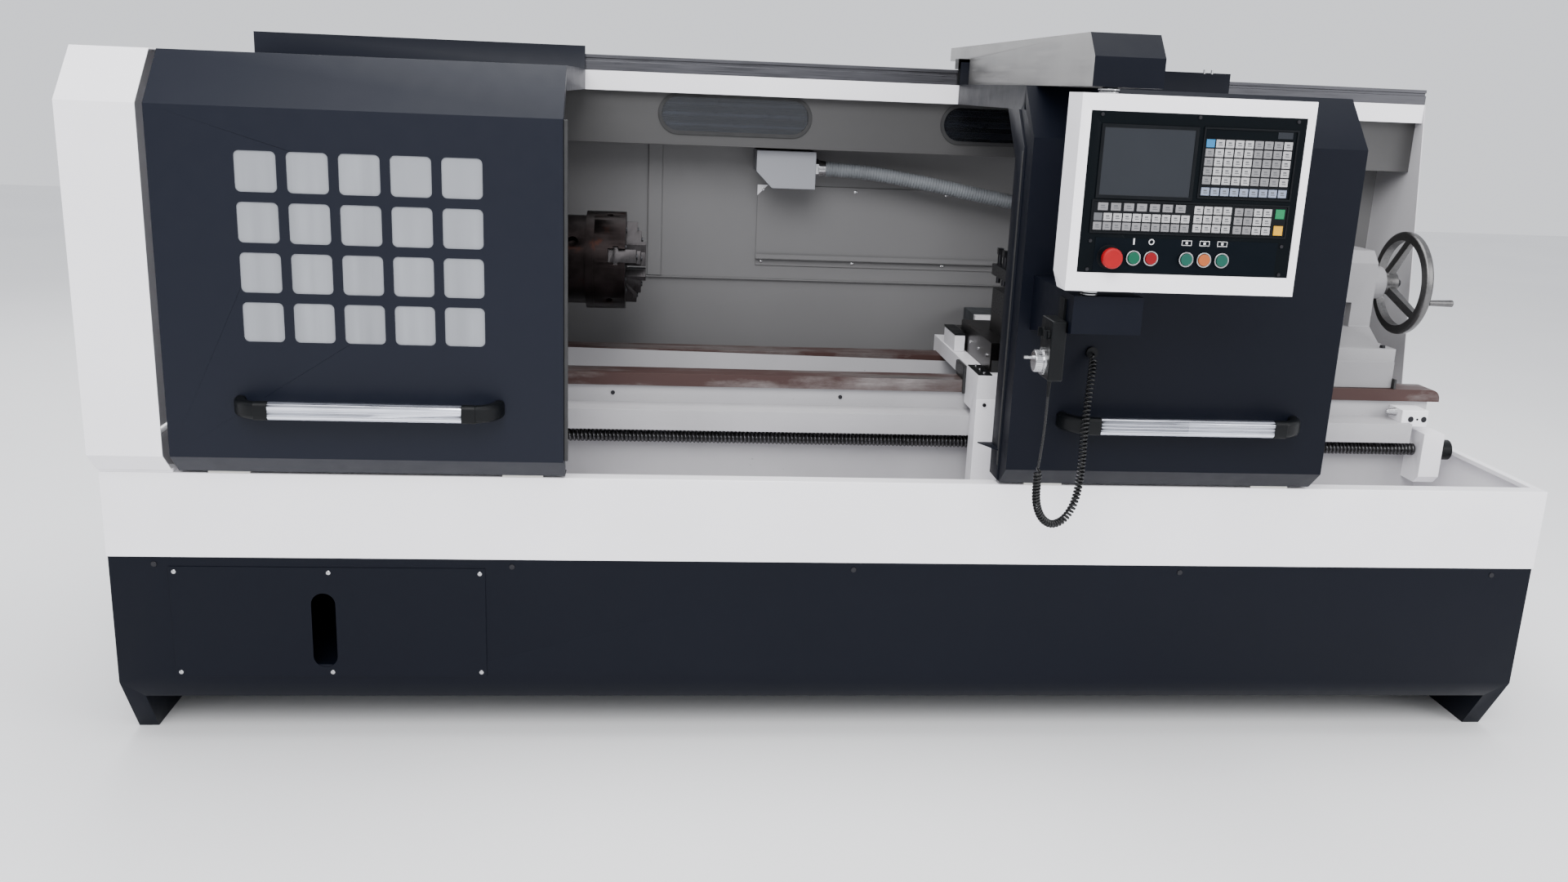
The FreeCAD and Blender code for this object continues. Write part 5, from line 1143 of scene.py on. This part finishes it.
# ---------------------------------------------------------------- pendant
class LATHE_OT_pendant(bpy.types.Operator):
    """Arm, bracket, pendant shell, panel, buttons and screen"""
    bl_idname = "lathe.pendant"
    bl_label = "Pendant"

    def execute(self, context):
        edge = sizes().sheet_round
        front = FRONT_Y - 0.300

        # The arm's front and right side take deep navy; its other faces take the grey painted glare.
        def choose(centre, normal):
            return 1 if normal.y < -0.3 and centre.y < front or normal.x > 0.5 else 0

        refined("pendant_arm", edge, "arm", choose, ("deep",))
        refined("lower_bracket", edge, "deep")
        refined("pendant_shell", edge * 2.2, "white")
        refined("control_plate", 0.0006, "panel")
        cad_finish("stop", "emergency_stop")
        for index, finish in enumerate(("green", "red", "pale_green", "amber", "pale_green")):
            cad_finish(finish, f"push_button_{index + 1}")
        pivot = at(0.390, -0.330, 0.0)
        bm = bmesh.new()
        for z0, z1, radius in ((1.5435, 1.5462, 0.019), (1.5485, 1.5515, 0.021), (1.1535, 1.1560, 0.017),
                               (1.1590, 1.1620, 0.0185)):
            add_rod(bm, pivot + Vector((0, 0, z0)), pivot + Vector((0, 0, z1)), radius, sides=40)
        finished("pivot_washers", bm, "chrome", "right_door", 0.0004)
        low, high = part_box("control_plate")
        face = high[1] - PLATE_RECESS
        left, top = low[0], high[2]
        bm = bmesh.new()
        button_z, mark_z = 1.235, 1.2665
        for x in (0.4528, 0.4879, 0.5591, 0.5951, 0.6310):
            centre = (x, low[1] - 0.0012, button_z)
            add_loop(bm, circle(centre, 0.0147, 40), circle(centre, 0.0119, 40), (0, 0.006, 0))
        finished("button_rings", bm, "chrome", "pendant", 0.0008)
        bm = bmesh.new()
        add_outline(bm, circle((0.4049, face - 0.0012, button_z), 0.0235, 48), (0, 0.0010, 0))
        finished("stop_collar", bm, "bezel", "pendant", 0.0004)
        boxes("screen", "screen", "pendant", "black_plastic", 0.0003,
              ((left + 0.0285, face - 0.0008, top - 0.159), (left + 0.2080, face + 0.0004, top - 0.0295)))
        frames = (((0.022, 0.0235), (0.214, 0.1635), 0.0065), ((0.2235, 0.0225), (0.4125, 0.158), 0.0035),
                  ((0.0165, 0.166), (0.4125, 0.2305), 0.0035))
        bm = bmesh.new()
        for (u0, v0), (u1, v1), width in frames:
            outer = upright(left + u0, left + u1, top - v0, top - v1, face)
            inner = upright(left + u0 + width, left + u1 - width, top - v0 - width, top - v1 + width, face)
            add_loop(bm, outer, inner, (0, -0.0024, 0))
        finished("unit_frames", bm, "bezel", "pendant", 0.0006)
        boxes("button_insert", "panel_insert", "pendant", "navy_paint", 0.0003,
              ((left + 0.0305, face - 0.0010, low[2] + 0.002), (left + 0.3985, face, low[2] + 0.0685)))
        boxes("pad_display", "screen", "pendant", "black_plastic", 0.0003,
              ((left + 0.371, face - 0.0012, top - 0.0395), (left + 0.401, face, top - 0.0270)))
        for index, (u, v) in enumerate(((0.021, 0.0065), (0.2126, 0.0055), (0.4086, 0.0065),
                                        (0.0206, 0.2456),
                                        (0.0196, 0.3010), (0.4066, 0.2456), (0.4080, 0.3010))):
            grid_of(f"panel_screw_{index + 1}", socket_screw(0.0036, 0.0022), (left + u, face, top - v), 1,
                    1, 0.0, 0.0, "dark_steel", "pendant")
        bm = bmesh.new()
        y0, y1 = face - 0.0016, face - 0.0009
        add_box(bm, (0.4514, y0, 1.2605), (0.4542, y1, 1.2725))
        centre = (0.4879, y0, mark_z)
        add_loop(bm, circle(centre, 0.0056, 32), circle(centre, 0.0056 * 0.72, 32), (0, 0.0007, 0))
        for x in (0.5591, 0.5951, 0.6310):
            add_loop(bm, upright(x - 0.010, x + 0.010, mark_z - 0.005, mark_z + 0.005, y0),
                     upright(x - 0.009, x + 0.009, mark_z - 0.004, mark_z + 0.004, y0), (0, 0.0007, 0))
            add_box(bm, (x - 0.0022, y0, 1.2643), (x + 0.0022, y1, 1.2687))
        finished("button_marks", bm, "legend_white", "pendant")
        return {"FINISHED"}


class LATHE_OT_keys(bpy.types.Operator):
    """Key banks of the control panel"""
    bl_idname = "lathe.keys"
    bl_label = "Keys"

    def execute(self, context):
        low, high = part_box("control_plate")
        face = high[1] - PLATE_RECESS
        left, top = low[0], high[2]
        bm = bmesh.new()
        for (u0, v0), (u1, v1) in (((0.228, 0.0435), (0.404, 0.1535)), ((0.0205, 0.170), (0.4085, 0.2265))):
            add_box(bm, (left + u0, face - 0.0007, top - v1), (left + u1, face, top - v0))
        finished("key_pads", bm, "bezel", "pendant", 0.0003)
        width, height, rise = sizes().key_width, sizes().key_height, sizes().key_rise
        banks = (
            ("pad_light", 0.2580, 0.0527, 4, 5, "key_light", 1.0), ("pad_grey", 0.3356, 0.0527, 3, 5,
                                                                    "key_grey", 1.0),
            ("pad_edge", 0.3938, 0.0527, 1, 5, "key_light", 1.0), ("pad_side", 0.2386, 0.0702, 1, 4,
                                                                   "key_grey", 1.0),
            ("pad_first", 0.2386, 0.0527, 1, 1, "key_blue", 1.0), ("pad_foot", 0.2386, 0.1440, 9, 1,
                                                                   "key_pale", 1.0),
            ("strip_soft", 0.0390, 0.1790, 7, 1, "key_grey", 1.33), ("strip_upper", 0.0502, 0.1988, 9, 1,
                                                                     "key_light", 1.0),
            ("strip_first", 0.0309, 0.1988, 1, 1, "legend", 1.0), ("strip_lower", 0.0309, 0.2164, 10, 1,
                                                                   "key_grey", 1.0),
            ("jog", 0.2303, 0.1803, 4, 3, "key_light", 1.0), ("rate_side", 0.3117, 0.1815, 2, 3,
                                                              "key_grey", 1.0),
            ("rate", 0.3505, 0.1815, 2, 3, "key_light", 1.0), ("start", 0.3950, 0.1830, 1, 1, "key_green",
                                                               1.1),
            ("hold", 0.3950, 0.2150, 1, 1, "key_yellow", 1.1))
        for name, u, v, across, up, finish, wide in banks:
            pitch_x = 0.0194 * wide if across > 1 else 0.0
            bank_width, bank_height = (across - 1) * pitch_x, (up - 1) * 0.0175
            centre = (left + u + bank_width / 2, face - 0.0007, top - v - bank_height / 2)
            bm = bmesh.new()
            half_x, half_z = width * wide / 2, height / 2
            if name in ("start", "hold"):
                half_z = half_x
            if name == "strip_soft":
                half_x, half_z = 0.0100, 0.0074
            low_ring = [Vector((x, z, 0)) for x, z in ((-half_x, -half_z), (half_x, -half_z),
                                                       (half_x, half_z),
                                                        (-half_x, half_z))]
            add_outline(bm, low_ring, (0, 0, rise))
            bmesh.ops.bevel(bm, geom=bm.edges[:], offset=0.0004, segments=1, affect="EDGES")
            grid_of(f"keys_{name}", bm, centre, across, up, bank_width, bank_height, finish, "pendant")
            if finish in ("key_light", "key_grey", "key_pale"):
                bm = bmesh.new()
                add_box(bm, (-half_x * 0.45, half_z * 0.05, rise),
                        (half_x * 0.35, half_z * 0.42, rise + 0.00012))
                add_box(bm, (-half_x * 0.45, -half_z * 0.45, rise),
                        (half_x * 0.55, -half_z * 0.22, rise + 0.00012))
                grid_of(f"marks_{name}", bm, centre, across, up, bank_width, bank_height, "legend",
                        "pendant")
        return {"FINISHED"}


class LATHE_OT_pulse_unit(bpy.types.Operator):
    """Hand pulse unit with its dial and selectors"""
    bl_idname = "lathe.pulse_unit"
    bl_label = "Hand pulse unit"

    def execute(self, context):
        cad_finish("black", "pulse_unit", "selector_1", "selector_2", "lead_grommet")
        cad_finish("chrome", "pulse_dial")
        y, z = FRONT_Y - 0.290, 1.008
        face_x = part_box("pulse_dial")[1][0] - 0.0103
        bm = bmesh.new()
        for index in range(50):
            angle = tau * index / 50
            reach = 0.0252 if index % 5 else 0.0238
            turn = Vector((0, cos(angle), sin(angle)))
            side = Vector((0, -sin(angle), cos(angle))) * 0.00025
            base = Vector((face_x - 0.0050, y, z))
            ring = [base + turn * reach - side, base + turn * 0.0280 - side, base + turn * 0.0280 + side,
                    base + turn * reach + side]
            add_outline(bm, ring, (-0.0003, 0, 0))
        finished("dial_graduations", bm, "legend", "dial")
        bm = bmesh.new()
        for index in range(36):
            angle = tau * index / 36
            base = Vector((face_x - 0.0070, y + 0.0219 * cos(angle), z + 0.0219 * sin(angle)))
            add_rod(bm, base, base - Vector((0.0130, 0, 0)), 0.0009, sides=8)
        finished("knob_knurl", bm, "chrome", "dial")
        bm = bmesh.new()
        base = Vector((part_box("pulse_unit")[0][0], y, z))
        add_outline(bm, circle(base, 0.0315, 48, (0, 1, 0)), (-0.0002, 0, 0))
        finished("dial_seat", bm, "bezel", "right_door")
        return {"FINISHED"}


class LATHE_OT_lead(bpy.types.Operator):
    """Curly lead from the hand unit to the door"""
    bl_idname = "lathe.lead"
    bl_label = "Curly lead"

    def execute(self, context):
        straight = [at(*p) for p in ((0.3375, -0.290, 0.933), (0.3376, -0.2895, 0.905),
                                     (0.3395, -0.282, 0.872),
                                     (0.3410, -0.270, 0.824), (0.3410, -0.258, 0.776))]
        curl = [at(*p) for p in ((0.341, -0.258, 0.776), (0.343, -0.247, 0.731), (0.350, -0.232, 0.682),
                                 (0.371, -0.214, 0.642), (0.401, -0.196, 0.622), (0.434, -0.180, 0.631),
                                 (0.457, -0.167, 0.664), (0.467, -0.157, 0.712), (0.470, -0.151, 0.766),
                                 (0.469, -0.149, 0.824), (0.473, -0.140, 0.876), (0.483, -0.118, 0.928),
                                 (0.494, -0.088, 0.968), (0.499, -0.0655, 0.983))]
        line = route_points(curl)
        total = path_length(line)
        phase = 0.0
        fine = resampled(line, 0.0005)
        frames = moving_frames(fine)
        coil = []
        wire_radius, coil_radius, turn_points = 0.00275, 0.0095, 12
        reach = coil_radius - wire_radius
        step = total / (len(fine) - 1)
        next_phase = 0.0
        for index, (point, (side, up)) in enumerate(zip(fine, frames)):
            share = index / (len(fine) - 1)
            grow = min(1.0, share / 0.035, (1.0 - share) / 0.035)
            slack = 1.0 + 0.20 * max(0.0, min(1.0, (share - 0.5) / 0.3))
            pitch = sizes().coil_pitch * slack * (1.0 + 4.0 * (1.0 - grow))
            phase += tau * step / pitch
            if phase >= next_phase:
                wide = reach * grow
                coil.append(point + side * (wide * cos(phase)) + up * (wide * sin(phase)))
                next_phase += tau / turn_points
        points = straight[:-1] + coil + [line[-1]]
        cord = smooth_curve("curly_lead_cord", points, 2)
        cord.bevel_depth = wire_radius
        cord.bevel_resolution = 2
        cord.use_fill_caps = True
        cord.materials.append(finishes["rubber"])
        piece = bpy.data.objects.new("curly_lead_cord", cord)
        bpy.context.scene.collection.objects.link(piece)
        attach(piece, "right_door")
        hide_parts("lead", "curly_lead")
        length = path_length(route_points(points))
        return {"FINISHED"}


class LATHE_OT_cabinet(bpy.types.Operator):
    """Electrical cabinet and its louvred rear door"""
    bl_idname = "lathe.cabinet"
    bl_label = "Electrical cabinet"

    def execute(self, context):
        edge = sizes().sheet_round
        refined("electrical_cabinet", edge, "white")
        refined("cabinet_door", edge, "white")
        low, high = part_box("cabinet_door")
        leaf_y = high[1] - 0.014
        count = sizes().louvres
        for index, z in enumerate((0.520, 1.280)):
            bm = bmesh.new()
            ring = [Vector((-0.075, -0.006, 0)), Vector((-0.075, 0.006, 0)), Vector((-0.075, 0.006, 0.001)),
                    Vector((-0.075, -0.004, 0.006))]
            add_outline(bm, ring, (0.150, 0, 0))
            grid_of(f"louvres_{index + 1}", bm, ((low[0] + high[0]) / 2 - 0.01, leaf_y, z), 2, count,
                    0.220, (count - 1) * 0.016, "white", "rear_door", FACE_BACK)
        bm = bmesh.new()
        handle_x = low[0] + 0.041
        add_rod(bm, (handle_x, leaf_y + 0.010, 0.900), (handle_x, high[1] - 0.0002, 0.900), 0.006)
        finished("door_lock", bm, "chrome", "rear_door", 0.0004)
        return {"FINISHED"}


class LATHE_OT_stage(bpy.types.Operator):
    """Floor, backdrop, lights and camera"""
    bl_idname = "lathe.stage"
    bl_label = "Stage"

    def execute(self, context):
        scene = context.scene
        bm = bmesh.new()
        add_box(bm, (-14.0, -12.0, -0.02), (14.0, 14.0, 0.0))
        floor = finished("floor", bm, None, None)
        floor_finish = Finish("pale_floor")
        clouds = floor_finish.ranged(floor_finish.noise(0.6, 3.0), 0.3, 0.7)
        floor_finish.colour(floor_finish.blended(clouds, (0.80, 0.80, 0.81), (0.84, 0.84, 0.845)))
        floor_finish.shader.inputs["Roughness"].default_value = 0.7
        floor.data.materials.append(floor_finish.material)
        world = bpy.data.worlds.new("studio")
        scene.world = world
        world.use_nodes = True
        background = world.node_tree.nodes["Background"]
        background.inputs["Color"].default_value = (0.93, 0.95, 1.0, 1.0)
        background.inputs["Strength"].default_value = 1.15
        for name, place, aim, size, power in (
                ("key", (-1.2, -5.6, 5.0), (0.0, 0.0, 0.8), 4.5, 460.0),
                ("fill", (5.0, -4.4, 3.4), (0.4, 0.0, 0.9), 4.0, 205.0),
                ("top", (0.0, 0.2, 5.4), (0.0, 0.1, 0.0), 5.0, 250.0),
                ("back", (-2.0, 5.2, 4.0), (0.0, 0.4, 0.9), 4.0, 130.0)):
            light = bpy.data.lights.new(name, "AREA")
            light.shape = "DISK"
            light.size = size
            light.energy = power
            lamp = bpy.data.objects.new(name, light)
            lamp.location = place
            lamp.rotation_euler = (Vector(aim) - Vector(place)).to_track_quat("-Z", "Y").to_euler()
            scene.collection.objects.link(lamp)
        camera_data = bpy.data.cameras.new("camera")
        camera_data.sensor_width = FILM_WIDTH
        camera_data.lens = FILM_WIDTH * 1647.0305 / 1920.0
        camera_data.clip_end = 60.0
        camera = bpy.data.objects.new("camera", camera_data)
        camera.location = at(-0.4617, -2.9454, 1.5301)
        yaw, pitch, roll = (radians(a) for a in (5.4904, 14.7405, 2.3904))
        ahead = Vector((sin(yaw), cos(yaw), 0))
        side = Vector((cos(yaw), -sin(yaw), 0))
        looking = ahead * cos(pitch) - Vector((0, 0, sin(pitch)))
        over = ahead * sin(pitch) + Vector((0, 0, cos(pitch)))
        right = side * cos(roll) + over * sin(roll)
        up = over * cos(roll) - side * sin(roll)
        turn = Matrix((right, up, -looking)).transposed()
        camera.rotation_euler = turn.to_euler()
        scene.collection.objects.link(camera)
        scene.camera = camera
        return {"FINISHED"}


class LATHE_PT_panel(bpy.types.Panel):
    bl_label = "Turning lathe"
    bl_idname = "LATHE_PT_panel"
    bl_space_type = "VIEW_3D"
    bl_region_type = "UI"
    bl_category = "Lathe"

    def draw(self, context):
        for operator in operators:
            self.layout.operator(operator.bl_idname)
        for group in (context.scene.lathe_sizes, context.scene.lathe_colours):
            for name in group.__annotations__:
                self.layout.prop(group, name)


operators = (LATHE_OT_finishes, LATHE_OT_base, LATHE_OT_bed, LATHE_OT_headstock, LATHE_OT_chuck,
             LATHE_OT_feed,
             LATHE_OT_carriage, LATHE_OT_tailstock, LATHE_OT_doors, LATHE_OT_guard, LATHE_OT_conduit,
             LATHE_OT_pendant, LATHE_OT_keys, LATHE_OT_pulse_unit, LATHE_OT_lead, LATHE_OT_cabinet,
             LATHE_OT_stage)
classes = (LatheSizes, LatheColours, *operators, LATHE_PT_panel)


def register():
    for kind in classes:
        bpy.utils.register_class(kind)
    bpy.types.Scene.lathe_sizes = PointerProperty(type=LatheSizes)
    bpy.types.Scene.lathe_colours = PointerProperty(type=LatheColours)


def unregister():
    del bpy.types.Scene.lathe_colours
    del bpy.types.Scene.lathe_sizes
    for kind in reversed(classes):
        bpy.utils.unregister_class(kind)


def main():
    register()
    for operator in operators:
        group, name = operator.bl_idname.split(".")
        getattr(getattr(bpy.ops, group), name)()


if __name__ == "__main__":
    main()
